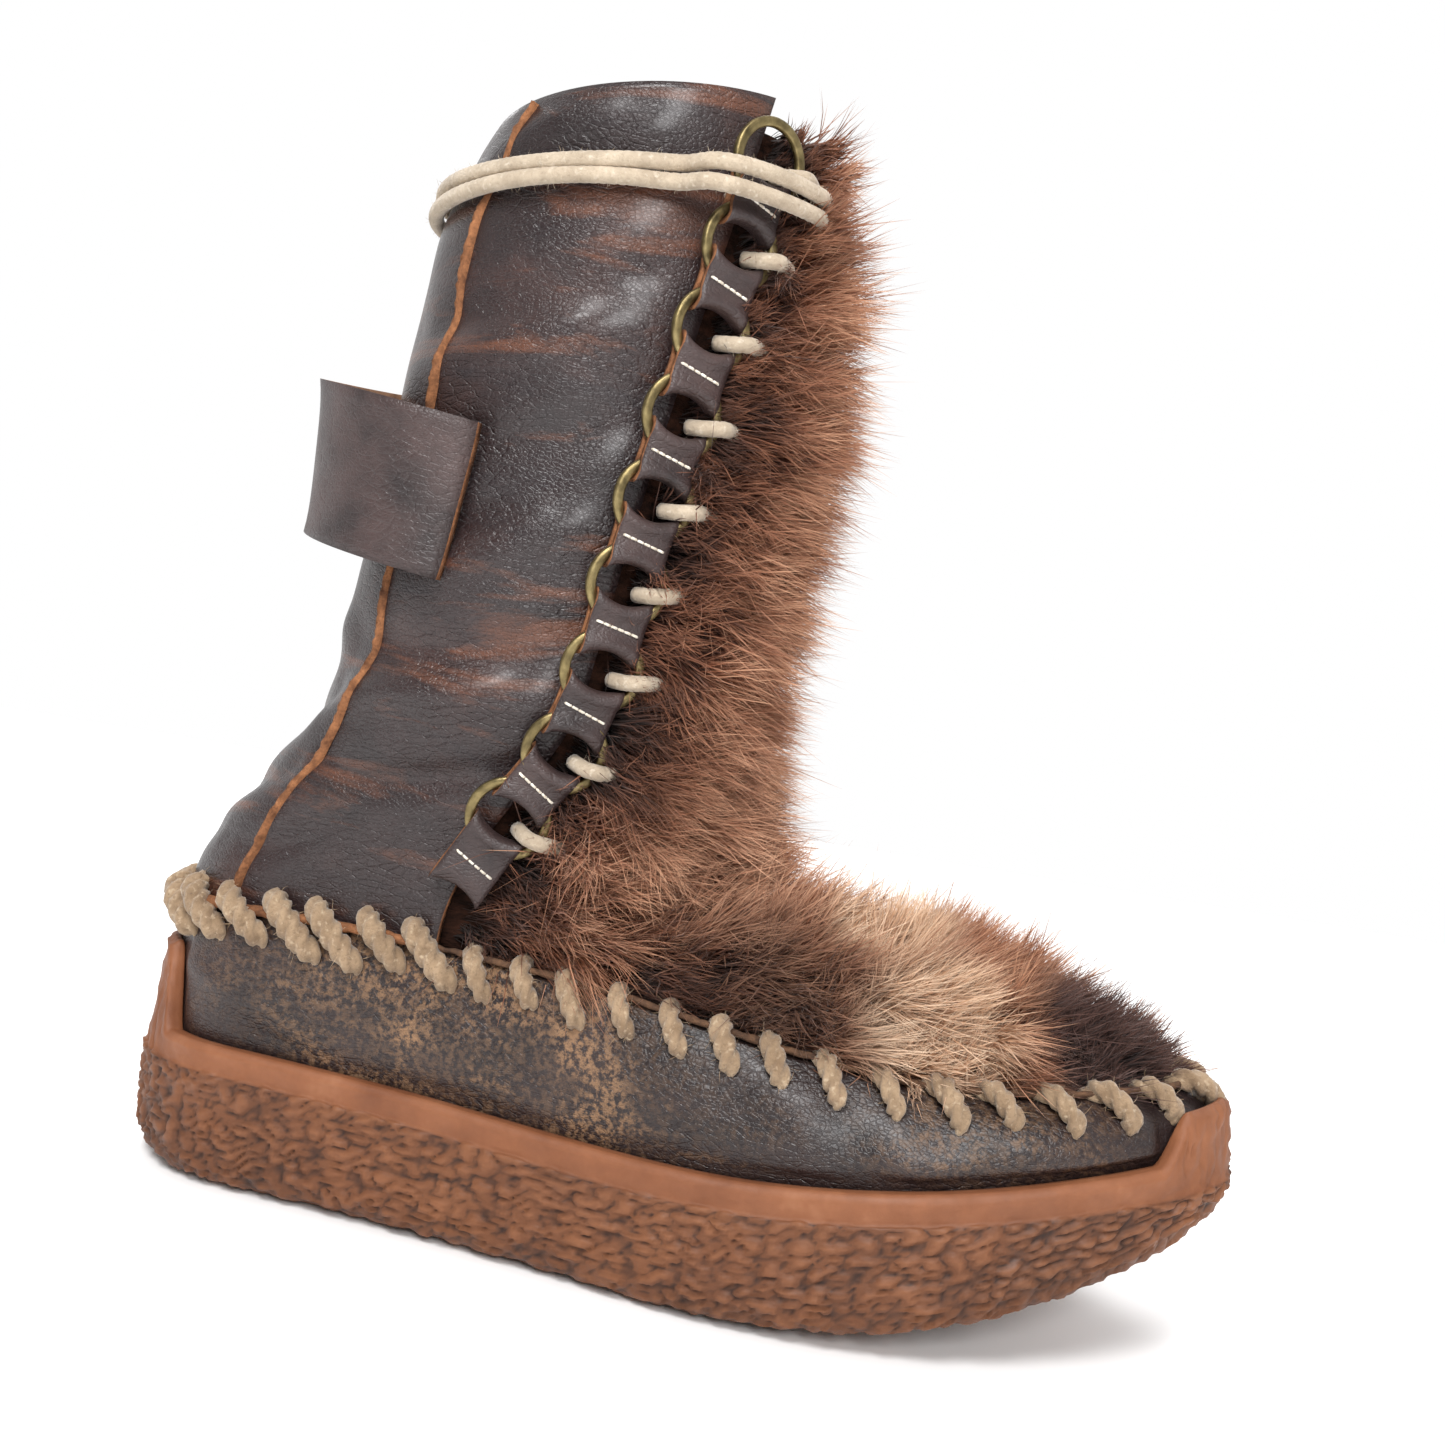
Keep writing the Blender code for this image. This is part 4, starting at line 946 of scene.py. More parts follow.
def make_sole():
    loop = Loop(SOLE_STEPS)
    share = loop.share
    low = np.maximum(profile(share, 1), 0.0)
    side_top = profile(share, 3) - BAND_HEIGHT
    top = profile(share, 3) + HEEL_TAB * loop.heel + TOE_TAB * loop.toe
    roll = 1 + 0.5 * ease((share - 0.8) / 0.2)
    lean = 2.2 * MM * loop.heel + 2.6 * MM * loop.toe
    # Ring, rows from it to the next, strength of the crepe's relief, share of the smooth band
    controls = [
        (loop.ring(10 * MM * roll, low), 5, 0.25, 0.0),
        (loop.ring(3.2 * MM * roll, low + 1.8 * MM * roll), 5, 0.7, 0.0),
        (loop.ring(0.6 * MM * roll, low + 7 * MM * roll), 24, 1.0, 0.0),
        (loop.ring(0.0, side_top), 2, 0.85, 0.0),
        (loop.ring(BAND_STEP, side_top + 0.5 * MM), 8, 0.12, 0.8),
        (loop.ring(BAND_STEP + lean * 0.8, top - 1.6 * MM), 2, 0.10, 1.0),
        (loop.ring(BAND_STEP + lean + 1.2 * MM, top), 3, 0.05, 1.0),
        (loop.ring(CUP_WALL - 0.4 * MM, top - 0.2 * MM), 1, 0.0, 1.0),
        (loop.ring(CUP_WALL, top - 1.2 * MM), 2, 0.0, 1.0),
        (loop.ring(CUP_WALL, profile(share, 2)), 1, 0.0, 1.0),
    ]
    rows, weights, bands = [], [], []
    for (ring, count, *here), (following, _, *there) in zip(controls, controls[1:]):
        for k in range(count):
            rows.append(mix(ring, following, k / count))
            weights.append(mix(here[0], there[0], k / count))
            bands.append(mix(here[1], there[1], k / count))
    rows.append(controls[-1][0])
    grid = np.array(rows)
    tall = np.array([*weights, 0.0])[:, None]
    band = np.array([*bands, 1.0])[:, None]
    for _ in range(2):
        grid[1:14] = (grid[0:13] + 2 * grid[1:14] + grid[2:15]) / 4
    along = np.roll(grid, -1, axis=1) - np.roll(grid, 1, axis=1)
    normal = unit(np.cross(along, np.gradient(grid, axis=0)))
    outward = np.column_stack([loop.outward, np.zeros(loop.count)])
    flip = np.sign(np.sum(normal[20] * outward, axis=1))[None, :, None]
    normal = normal * np.where(flip == 0, 1, flip)
    climb = np.cumsum(np.linalg.norm(np.diff(grid, axis=0), axis=2), axis=0)
    height = np.concatenate([np.zeros((1, loop.count)), climb])
    relief = crepe_relief(np.broadcast_to(loop.arc / MM, height.shape), height / MM)
    relief = np.where(tall > 0.01, relief, 0.0)
    # The tabs are crepe up to their rims
    push = (relief - 0.60) * 1.9 * MM * tall * np.where(band > 0.5, 1 + 5.0 * (loop.heel + loop.toe), 1.0)
    grid = grid + normal * push[:, :, None]
    grid[:, :, 2] = np.maximum(grid[:, :, 2], 0.0)
    count = loop.count
    last = count * (len(grid) - 1)
    i = np.arange(1, loop.steps - 1)
    quads = [grid_quads(0, len(grid), count, closed=True)]
    tris = []
    for s in (0, last):
        quads.append(np.stack([s + i, s + i + 1, s + count - i - 1, s + count - i], axis=-1))
        tris.append([s, s + 1, s + count - 1])
        tris.append([s + loop.steps - 1, s + loop.steps, s + loop.steps + 1])
    obj = turned_out(mesh_object("crepe_sole", grid, [np.concatenate(quads), np.array(tris)], [CREPE]))
    # The relief also drives the crepe's painted shade in its creases and painted highlight on its tops
    shades = {"relief": np.where(tall > 0.2, relief, 0.6), "band": np.broadcast_to(band, relief.shape)}
    for name, values in shades.items():
        layer = obj.data.attributes.new(name, "FLOAT", "POINT")
        layer.data.foreach_set("value", values.reshape(-1).astype(np.float32))
    return dress(obj, "crepe_rubber", "sole")


# Upper

def make_upper():
    loop = LOOP
    count = loop.count
    rings = loop.vamp_rings()
    rise = np.linspace(0, 1, VAMP_ROWS)
    wall = smooth(rise, np.array(VAMP_RISES), np.array(rings[1:]))
    rise = rise[:, None]
    tall = (rings[5] - rings[1])[:, 2]
    outward = np.column_stack([loop.outward, np.zeros(count)])
    still = ease(rise / 0.15) * ease((1 - rise) / 0.2)
    push = vamp_dents(loop.share, rise, tall) + 0.7 * MM * noise_at(wall * 34) * still
    push = push * np.where(loop.sign < 0, 1.0, 0.75)
    wall = np.concatenate([rings[0][None], wall + outward * push[:, :, None]])

    order = np.concatenate([-SIDES[LATERAL][1][:0:-1], [0.0], SIDES[MEDIAL][1][1:]])
    place, up = np.meshgrid(order, np.linspace(0, 1, SHAFT_ROWS)[1:])
    shaft = shaft_point(place, up)
    still = ease(up / 0.06) * ease((1.0 - np.abs(place)) / 0.08)
    wave = 0.8 * MM * noise_at(shaft * (26, 26, 38)) * still
    push = shaft_folds(place, shaft[..., 2]) + wave
    shaft = shaft + shaft_normal(place, up) * push[..., None]

    start = len(wall) * count
    throat = np.arange(loop.throat + 1)
    below = start - count + np.concatenate([throat[::-1], count - throat[1:]])
    above = start + np.arange(len(order))
    quads = [
        grid_quads(0, len(wall), count, closed=True),
        np.stack([below[:-1], below[1:], above[1:], above[:-1]], axis=-1),
        grid_quads(start, len(place), len(order)),
    ]
    index = np.concatenate([np.full(len(q), number) for q, number in zip(quads, (1, 0, 0))])
    obj = turned_out(mesh_object(
        "upper_leather", np.concatenate([wall.reshape(-1, 3), shaft.reshape(-1, 3)]), np.concatenate(quads),
        [SHAFT_LEATHER, VAMP_LEATHER, LINING, LINING, RAW_EDGE, RAW_EDGE], indices=index,
    ))
    solid = obj.modifiers.new("wall", "SOLIDIFY")
    solid.thickness = LEATHER
    solid.offset = -1
    solid.use_even_offset = True
    solid.use_quality_normals = True
    solid.material_offset = 2
    solid.material_offset_rim = 4
    return dress(obj, "dark_leather", "upper")


def shaft_surface(place, height):
    """Points on the folded leather, and its normals."""
    rise = at_height(place, height)
    normal = shaft_normal(place, rise)
    return shaft_point(place, rise) + normal * shaft_folds(place, height)[:, None], normal


def make_seam(name, place, node):
    rng = np.random.default_rng(11 if place < 0 else 12)
    heights = np.linspace(74 * MM, float(collar_height(place)) - 1.5 * MM, 150)
    under_lace = np.exp(-(((heights - LACE_HEIGHT - 1.5 * MM) / (8 * MM)) ** 2))
    ripple = 0.012 * np.sin(heights / MM / 9.0) + 0.004 * np.cumsum(rng.standard_normal(len(heights))) / 6
    ripple = ripple - np.linspace(ripple[0], ripple[-1], len(ripple))
    places = place + ripple * 0.35
    centre, normal = shaft_surface(places, heights)
    up = unit(np.gradient(centre, axis=0))
    side = unit(np.cross(up, normal))
    section = ((-1.3, -0.4), (-0.95, 0.6), (-0.5, 1.15), (0.1, 1.35), (0.6, 1.1), (1.0, 0.5), (1.3, -0.4))
    grid = []
    for across, out in section:
        rough = 1 + 0.22 * rng.standard_normal(len(heights))
        tall = out * (1 - 0.75 * under_lace) * (rough if out > 0.9 else 1)
        grid.append(centre + side * across * MM + normal * (tall * MM)[:, None])
    grid = np.stack(grid, axis=1)
    quads = grid_quads(0, len(heights), len(section))
    obj = mesh_object(name, grid.reshape(-1, 3), quads, [RAW_EDGE])
    return dress(obj, "raw_edge", node)


# Rings and links

RING_POWER = 0.62
RING_HALF_WIDTH = 1.25 * MM
RING_HALF_DEPTH = 0.95 * MM
LINK_STITCHES = 6
LINK_STITCH_SLANT = -0.10
# Path of one stitch: along the row and out of the link, in mm
THREAD_PATH = ((-0.85, -0.5), (-0.5, 0.0), (0.0, 0.12), (0.5, 0.0), (0.85, -0.5))
THROATS = {}
for way in (LATERAL, MEDIAL):
    rises = np.linspace(0, 1, 241)
    THROATS[way] = (lengths_along(shaft_point(float(way), rises)), rises)


def throat_frame(sign, length):
    arc, rises = THROATS[sign]
    reach = 20 * MM
    place = float(sign)
    low, here, high = (float(np.interp(length + d, arc, rises)) for d in (-reach, 0, reach))
    up = unit(shaft_point(place, high) - shaft_point(place, low))
    normal = unit(sum(shaft_normal(place, rise) for rise in (low, here, high)))
    normal = unit(normal - up * float(normal @ up))
    front = unit(np.cross(up, normal)) * -sign
    return shaft_point(place, here), up, front, normal


def chain_lengths():
    total = THROATS[LATERAL][0][-1]
    return np.linspace(CHAIN_START, total - CHAIN_END_MARGIN - RING_RADIUS, RING_COUNT)


def ring_centre(sign, length):
    point, _, front, normal = throat_frame(sign, length)
    return point + normal * RING_LIFT + front * CHAIN_SHIFT


def make_ring(label, sign, i, length):
    """Flat ring with rounded edges."""
    centre = ring_centre(sign, length)
    _, up, front, normal = throat_frame(sign, length)
    turn = np.linspace(0, 2 * math.pi, 56, endpoint=False)[:, None]
    section = np.linspace(0, 2 * math.pi, 12, endpoint=False)
    across = np.copysign(np.abs(np.cos(section)) ** RING_POWER, np.cos(section))
    out = np.copysign(np.abs(np.sin(section)) ** RING_POWER, np.sin(section))
    radial = up * np.cos(turn) + front * np.sin(turn)
    wide = RING_RADIUS + RING_HALF_WIDTH * across
    points = centre + radial[:, None] * wide[:, None] + normal * (RING_HALF_DEPTH * out)[:, None]
    quads = grid_quads(0, *points.shape[:2], closed=True, looped=True)
    obj = turned_out(mesh_object(f"brass_ring_{label}_{i}", points, quads, [BRASS]))
    return dress(obj, "antique_brass", f"ring_{label}_{i}")


def make_link(label, sign, i, link_frame, down, high):
    """Folded strap, its plies sewn together between the rings."""
    rng = np.random.default_rng(40 * i + (0 if sign < 0 else 9))
    centre, up, front, normal = link_frame
    sections, around = 13, 40
    inner = RING_WIRE + LINK_SLACK
    slack = 1.0 * MM
    share = np.linspace(-0.5, 0.5, sections)[:, None]
    b = share * LINK_WIDTH
    bow = RING_RADIUS - np.sqrt(RING_RADIUS**2 - b * b)
    wavy = np.zeros((sections, 1))
    wavy[0] = 0.35 * MM * rng.standard_normal()
    wavy[-1] = 0.35 * MM * rng.standard_normal()
    turn = 2 * math.pi * np.arange(around) / around
    along, out = np.sin(turn), np.cos(turn)
    layers = []
    for grow in (LINK_LEATHER, 0.0):
        far = np.where(along > 0, high, down) + bow * 0.8 + inner + slack + grow
        reach = np.copysign(np.abs(along) ** 0.55, along) * far
        near_ring = ease((np.abs(reach) / far - 0.25) / 0.45)
        half = mix(0.55 * MM + grow, inner + grow, near_ring)
        lift = np.copysign(np.abs(out) ** 0.6, out) * half - 0.5 * MM * (np.abs(share) * 2) ** 3
        offsets = np.stack([reach, np.broadcast_to(b + wavy * 0.3, reach.shape), lift], axis=-1)
        layers.append(centre + offsets @ np.stack([up, front, normal]))
    quads, index = sheet_faces(sections, around, 0, 1, 1, closed=True)
    materials = [LINK_LEATHER_FACE, RAW_EDGE]
    obj = mesh_object(f"leather_link_{label}_{i}", np.array(layers), quads, materials, indices=index)
    return dress(turned_out(obj), "dark_leather", f"link_{label}_{i}")


def link_stitches(joined, link_frame, at):
    """Row of short stitches across a link."""
    centre, up, front, normal = link_frame
    row = np.linspace(-0.5, 0.5, 2 * LINK_STITCHES + 1)[1::2] * (LINK_WIDTH - 3.0 * MM)
    way = unit(front + up * LINK_STITCH_SLANT)
    for b in row:
        middle = centre + front * b + up * (at + LINK_STITCH_SLANT * b) + normal * (LINK_LEATHER + 0.62 * MM)
        along, out = np.array(THREAD_PATH).T[:, :, None] * MM
        joined.add(*rope(middle + way * along + normal * out, 0.34 * MM, 6, 2, 0.002, 0.05))


def make_chains():
    stitches = Joined()
    lengths = chain_lengths()
    for sign, label in ((LATERAL, "lateral"), (MEDIAL, "medial")):
        for i, length in enumerate(lengths):
            make_ring(label, sign, i + 1, length)
        _, up, front, normal = throat_frame(sign, lengths[0])
        half = (lengths[1] - lengths[0]) / 2 - RING_RADIUS
        centre = ring_centre(sign, lengths[0]) - up * (RING_RADIUS + half)
        links = [((centre, up, front, normal), BOTTOM_TAB, half)]
        for below, above in zip(lengths, lengths[1:]):
            low = ring_centre(sign, below)
            high = ring_centre(sign, above)
            up = unit(high - low)
            normal = throat_frame(sign, (below + above) / 2)[3]
            normal = unit(normal - up * float(normal @ up))
            front = unit(np.cross(up, normal)) * -sign
            half = (np.linalg.norm(high - low) - 2 * RING_RADIUS) / 2
            links.append((((low + high) / 2, up, front, normal), half, half))
        for i, (link, down, high) in enumerate(links):
            make_link(label, sign, i + 1, link, down, high)
            link_stitches(stitches, link, 0.0 if i else -3.2 * MM)
    return dress(stitches.make("link_stitches", THREAD), "linen_cord")


# Whip stitch

STITCH_STEPS = 26
STITCH_SIDES = 18
# Shares of the way, and of the radius there
STITCH_TAPER = ((0.0, 0.12, 0.3, 0.75, 1.0), (0.75, 0.95, 1.0, 1.05, 0.85))
# Reach below the seam, path down and out from there, path over the seam, slant, radius; all lengths in mm
STITCHES = {
    "rear": (
        6.4,
        ((0.6, -1.6), (-0.6, 1.7), (-3.2, 3.0)),
        [(1.2, 3.5), (-1.6, 3.3), (-3.8, 1.8), (-4.6, -0.8)],
        1.05,
        2.75,
    ),
    "front": (
        7.4,
        ((0.6, -1.6), (-0.6, 1.7), (-3.2, 2.8)),
        [(1.2, 3.1), (-1.0, 2.4), (-2.6, 0.6), (-3.4, -2.0)],
        0.55,
        2.2,
    ),
}


class SeamPath:
    """The seam as a function of the length along it, with its directions."""

    def __init__(self):
        rings = LOOP.vamp_rings()
        self.seam = rings[-1]
        self.below = rings[-2]
        step = np.linalg.norm(np.roll(self.seam, -1, axis=0) - self.seam, axis=1)
        self.arc = np.concatenate([[0], np.cumsum(step)])
        self.total = self.arc[-1]
        self.throat = self.arc[LOOP.throat]
        self.outward = np.column_stack([LOOP.outward, np.zeros(LOOP.count)])

    def read(self, values, length):
        ring = np.concatenate([values, values[:1]])
        length = np.asarray(length) % self.total
        return np.stack([np.interp(length, self.arc, ring[:, i]) for i in range(3)], axis=-1)

    def at(self, length):
        edge = self.read(self.seam, length)
        down = unit(self.read(self.below, length) - edge)
        out = unit(self.read(self.outward, length))
        return edge, down, unit(out - down * float(out @ down))


SEAM_PATH = SeamPath()


def make_whip_stitch():
    """Thick cord over the seam: one slanting stitch after another."""
    rng = np.random.default_rng(5)
    joined = Joined()
    fuzz = Joined()
    path = SEAM_PATH
    for i in range(STITCH_COUNT):
        length = path.total * (i + 0.5) / STITCH_COUNT + 0.5 * MM * rng.standard_normal()
        rear = min(length, path.total - length) < path.throat + 3 * MM
        to_toe = 1 if length < path.total / 2 else -1
        far, low, high, slant, radius = STITCHES["rear" if rear else "front"]
        far = far + 0.7 * rng.standard_normal()
        points = []
        for down, out in [(far + down, out) for down, out in low] + high:
            edge, down_way, out_way = path.at(length + to_toe * slant * down * MM)
            if down < 0:
                down_way = -UP if rear else -unit(0.6 * UP - 0.8 * out_way)
            points.append(edge + down_way * down * MM + out_way * out * MM)
        line = resampled(points, STITCH_STEPS)
        size = (radius + 0.15 * rng.standard_normal()) * MM
        taper = np.interp(np.linspace(0, 1, STITCH_STEPS), *STITCH_TAPER)
        made, quads, caps = rope(line, size, STITCH_SIDES, 3, 0.012, 0.36, taper=taper)
        shake = noise_at(made * 700)
        made = made + unit(made - made.mean(axis=0)) * (shake * 0.45 * MM)[:, None]
        joined.add(made, quads, caps)
        count = 46
        pick = rng.integers(2 * STITCH_SIDES, len(made) - 2 - 2 * STITCH_SIDES, count)
        roots = made[pick]
        out = unit(roots - line[np.clip(pick // STITCH_SIDES, 0, STITCH_STEPS - 1)])
        directions = unit(out + 0.9 * unit(rng.standard_normal((count, 3))))
        lengths = rng.uniform(1.0, 3.2, count) * MM
        bends = 0.5 * unit(rng.standard_normal((count, 3)))
        fuzz.add(*blades(roots, directions, bends, lengths, np.full(count, 0.13 * MM), rng)[:3])
    dress(turned_out(joined.make("whip_stitch_cord", STITCH_CORD)), "linen_cord", "whip_stitch")
    dress(fuzz.make("whip_stitch_fuzz", STITCH_CORD), "linen_cord")


def make_seam_edges():
    """Cut edges of the two leathers that the whip stitch binds."""
    path = SEAM_PATH
    # Name, material, start and end along the seam, radius and place out in mm, steps
    edges = (
        ("seam_edge_rear", RAW_EDGE, -path.throat, path.throat, 1.25, 1.9, 210),
        ("seam_edge_front", DARK_EDGE, path.throat, path.total - path.throat, 0.8, 1.1, 260),
    )
    for name, material, start, end, radius, out, count in edges:
        line = []
        for length in np.linspace(start, end, count):
            edge, _, away = path.at(length)
            line.append(edge + away * out * MM + UP * 0.5 * MM)
        points, quads, caps = rope(np.array(line), radius * MM, 10, 2, 0.03, 0.12)
        points = points + UP * (noise_at(points * 420) * 0.5 * MM)[:, None]
        dress(turned_out(mesh_object(name, points, [quads, caps], [material])), "raw_edge")


# Back loop

def make_back_loop():
    rows, wide = 16, 70
    places = np.linspace(*LOOP_PLACES, wide)
    share = np.linspace(0, 1, wide)
    swell = np.sin(share * math.pi) ** 0.7 * LOOP_BULGE
    points = []
    for lift in (0.0, LEATHER):
        for t in np.linspace(0, 1, rows):
            height = mix(LOOP_LOW, LOOP_HIGH, t) + LOOP_SLOPE * (share - 0.5)
            curl = 0.9 * MM * (2 * t - 1) ** 4
            out = 2.4 * GAP + swell * mix(0.85, 1.15, t) + curl + lift
            points.append(lifted(places, height, out[:, None]))
    quads, index = sheet_faces(rows, wide, 2, 0, 1)
    materials = [LINK_LEATHER_FACE, RAW_EDGE, LINING]
    obj = mesh_object("leather_back_loop", np.array(points), quads, materials, indices=index)
    return dress(turned_out(obj), "dark_leather", "back_loop")


# Lace

LACE_LIFT = LACE_RADIUS + 3 * GAP
# From the middle of a ring to the fur: out, forward and up, in mm
BAR_PATH = ((-2.6, 3.5, -1.5), (1.8, 6.2, -0.8), (3.2, 9.3, 0.2), (1.0, 12.6, 0.8), (-1.6, 15.8, 0.8))


def lace_ring(height):
    angle = np.linspace(0, 2 * math.pi, 60, endpoint=False)
    angle = np.where(angle > math.pi, angle - 2 * math.pi, angle)
    here = height - LACE_DROP * (1 + np.cos(angle)) / 2
    centre, length, width, edge = shaft_row(here)
    past_edge = np.abs(angle) - np.radians(edge)
    over = ease((past_edge + 0.44) / 0.2)
    past = ease((past_edge - 0.34) / 0.2)
    extra = LACE_LIFT + over * (1 - 0.7 * past) * (RING_LIFT + 3.6 * MM)
    x = centre * MM - (length * MM + extra) * np.cos(angle)
    y = (width * MM + extra) * np.sin(angle)
    return np.column_stack([x, y, here])


def lace_rope(line, closed=False):
    return rope(line, 0.97 * LACE_RADIUS, 14, 5, 0.011, 0.05, closed=closed)


def lace_fuzz(joined, line, count, rng):
    pick = rng.integers(1, len(line) - 1, count)
    way = unit(np.gradient(line, axis=0))[pick]
    out = unit(np.cross(way, rng.standard_normal((count, 3))))
    roots = line[pick] + out * LACE_RADIUS * 0.9
    directions = unit(out + 0.8 * rng.standard_normal((count, 3)))
    bends = 0.4 * unit(rng.standard_normal((count, 3)))
    lengths = rng.uniform(0.7, 1.9, count) * MM
    joined.add(*blades(roots, directions, bends, lengths, np.full(count, 0.10 * MM), rng)[:3])


def make_wraps(fuzz, rng):
    count = 420
    rise = 2 * LACE_RADIUS + GAP
    for name, height, phase in (("lower", LACE_HEIGHT, 0), ("upper", LACE_HEIGHT + rise, 2)):
        line = resampled(lace_ring(height), count, closed=True)
        line[:, 2] += 0.5 * MM * np.sin(np.linspace(0, 6 * math.pi, count, endpoint=False) + phase)
        points, quads, _ = lace_rope(line, closed=True)
        obj = mesh_object(f"lace_cord_{name}", points, quads, [LACE_CORD])
        dress(turned_out(obj), "linen_cord", f"lace_wrap_{name}")
        lace_fuzz(fuzz, line, 700, rng)


def make_crossings(fuzz, rng):
    """Bars of the lace: up through each ring, over its bar and across the hide under the pile."""
    joined = Joined()
    for length in chain_lengths():
        ends = []
        for sign in (LATERAL, MEDIAL):
            _, up, front, normal = throat_frame(sign, length)
            offsets = np.array(BAR_PATH) * MM
            ends.append(ring_centre(sign, length) + offsets @ np.stack([normal, front, up]))
        middle_height = (ends[0][-1][2] + ends[1][-1][2]) / 2
        heights = SKIN.points[:, len(SKIN.across) // 2, 2]
        low_half = np.arange(len(heights)) <= len(heights) // 2
        row = SKIN.rows[np.argmin(np.abs(heights - middle_height - 2 * MM) + low_half)]
        across = np.array([-0.42, -0.15, 0.15, 0.42])
        at_row = np.full(4, row)
        over = SKIN.read(SKIN.points, at_row, across) + SKIN.read(SKIN.normal, at_row, across) * 3.2 * MM
        line = resampled(np.concatenate([ends[0], over, ends[1][::-1]]), 70)
        joined.add(*lace_rope(line))
        lace_fuzz(fuzz, line, 160, rng)
    dress(turned_out(joined.make("lace_crossing_cord", LACE_CORD)), "linen_cord", "lace_crossings")


def hang_point(knot, side, along, high, lift):
    flat = knot + side * along + np.array([0, 0, high])
    height = flat[2]
    centre, length, width, _ = shaft_row(height)
    middle = np.array([float(centre) * MM, 0.0])
    away = flat[:2] - middle
    a = float(length) * MM + lift
    b = float(width) * MM + lift
    scale = 1 / math.sqrt((away[0] / a) ** 2 + (away[1] / b) ** 2)
    return np.array([*(middle + away * scale), height])


# Free ends: along the shaft, up, and out of it, in mm from the knot
ENDS = {
    "back": (
        (-5.2, -2.4, 7.5), (-6.6, -5.6, 6.8), (-11, -13, 4.2), (-18, -24, 3.2),
        (-23, -38, 3.2), (-25, -54, 3.2), (-24, -70, 3.2),
    ),
    "front": (
        (5.2, -2.4, 7.5), (6.6, -5.6, 6.8), (7.5, -14, 4.2), (7, -26, 3.2),
        (5, -40, 3.2), (4, -54, 3.2),
    ),
}


def make_knot_and_ends(fuzz, rng):
    knot = lifted(KNOT_PLACE, LACE_HEIGHT - 3 * MM, LACE_LIFT + 2 * LACE_RADIUS + 0.6 * MM)
    normal = shaft_normal(KNOT_PLACE, at_height(KNOT_PLACE, LACE_HEIGHT))
    side = unit(np.cross(normal, UP))
    turn = np.linspace(0, 2 * math.pi, 60, endpoint=False)[:, None]
    wind = 3.4 * MM + 1.5 * MM * np.cos(3 * turn)
    line = (
        knot
        + side * wind * np.cos(turn * 2) * 1.15
        + UP * wind * np.sin(turn * 2) * 0.8
        + normal * 1.7 * MM * np.sin(3 * turn)
    )
    points, quads, _ = lace_rope(line, closed=True)
    obj = mesh_object("lace_knot_cord", points, quads, [LACE_CORD])
    dress(turned_out(obj), "linen_cord", "lace_knot")
    for name, offsets in ENDS.items():
        line = resampled([hang_point(knot, side, *(value * MM for value in row)) for row in offsets], 40)
        curve = bpy.data.curves.new(f"lace_tail_{name}", "CURVE")
        curve.dimensions = "3D"
        curve.bevel_depth = LACE_RADIUS
        curve.bevel_resolution = 3
        curve.use_fill_caps = True
        spline = curve.splines.new("POLY")
        spline.points.add(len(line) - 1)
        for target, point in zip(spline.points, line):
            target.co = (*map(float, point), 1.0)
        spline.use_smooth = True
        curve.materials.append(LACE_CORD)
        tail = dress(linked(f"lace_tail_{name}", curve), "linen_cord", f"lace_end_{name}")
        lace_fuzz(fuzz, line, 130, rng)


def make_lace():
    rng = np.random.default_rng(21)
    fuzz = Joined()
    make_wraps(fuzz, rng)
    make_crossings(fuzz, rng)
    make_knot_and_ends(fuzz, rng)
    dress(fuzz.make("lace_fuzz", LACE_CORD), "linen_cord")


# Fur

# Lie of the hair: row, then its direction along X and up
LIE = (
    (0.00, 0.80, 0.60),
    (0.12, 0.72, 0.70),
    (0.25, 0.72, 0.70),
    (0.38, 0.86, 0.50),
    (0.48, 0.94, 0.34),
    (0.56, 0.99, 0.12),
    (0.66, 0.99, -0.12),
    (0.76, 0.99, -0.06),
    (0.86, 0.95, 0.30),
    (1.00, 0.80, 0.60),
)
HAIRS_PER_PIECE = 37000
HAIRS_PER_LOCK = 75
# Widths of a hair, from its root, as shares of the widest
HAIR_WIDTHS = (0.75, 1.0, 0.8)
# Rows of the hide, and how long the hair is there: as a share, and at most in mm
HAIR_GROWTH = ((0.0, 0.12, 0.30, 0.45, 0.56, 0.95, 1.0), (1.05, 1.25, 1.40, 1.18, 1.10, 1.12, 0.95))
LONGEST_HAIR = ((0.0, 0.15, 0.3, 0.45, 0.9, 1.0), (16, 23, 29, 28, 28, 20))
# Name, first and last row
FUR_PIECES = (("toe", 0.0, 0.37), ("instep", 0.34, 0.63), ("shaft", 0.60, 1.0))


def pile_at(row, to_edge):
    """Height of the combed pile over the hide."""
    table = columns(FUR_LINE)
    share = np.interp(row, table[0], np.maximum(table[5], 0.5))
    share = np.where(row < 0.12, np.maximum(share, 0.75), share)
    edge = ease((to_edge - 5 * MM) / (20 * MM))
    return PILE * share * mix(0.42, 1.0, edge)


def make_under_fur():
    """Dark dense wool on the hide."""
    row = np.broadcast_to(SKIN.rows[:, None], SKIN.to_edge.shape)
    chain = ease((SKIN.to_edge - np.where(row > 0.55, 12 * MM, 2 * MM)) / (9 * MM))
    lump = 0.30 * pile_at(row, SKIN.to_edge) * chain * (1 + 0.6 * noise_at(SKIN.points * 160))
    points = np.array([SKIN.points + SKIN.normal * lump[..., None], SKIN.points - SKIN.normal * HIDE])
    quads, index = sheet_faces(*row.shape, 0, 1, 1)
    obj = mesh_object("fur_wool", points, quads, [UNDER, LINING], indices=index)
    return dress(turned_out(obj), "fur", "fur_front")


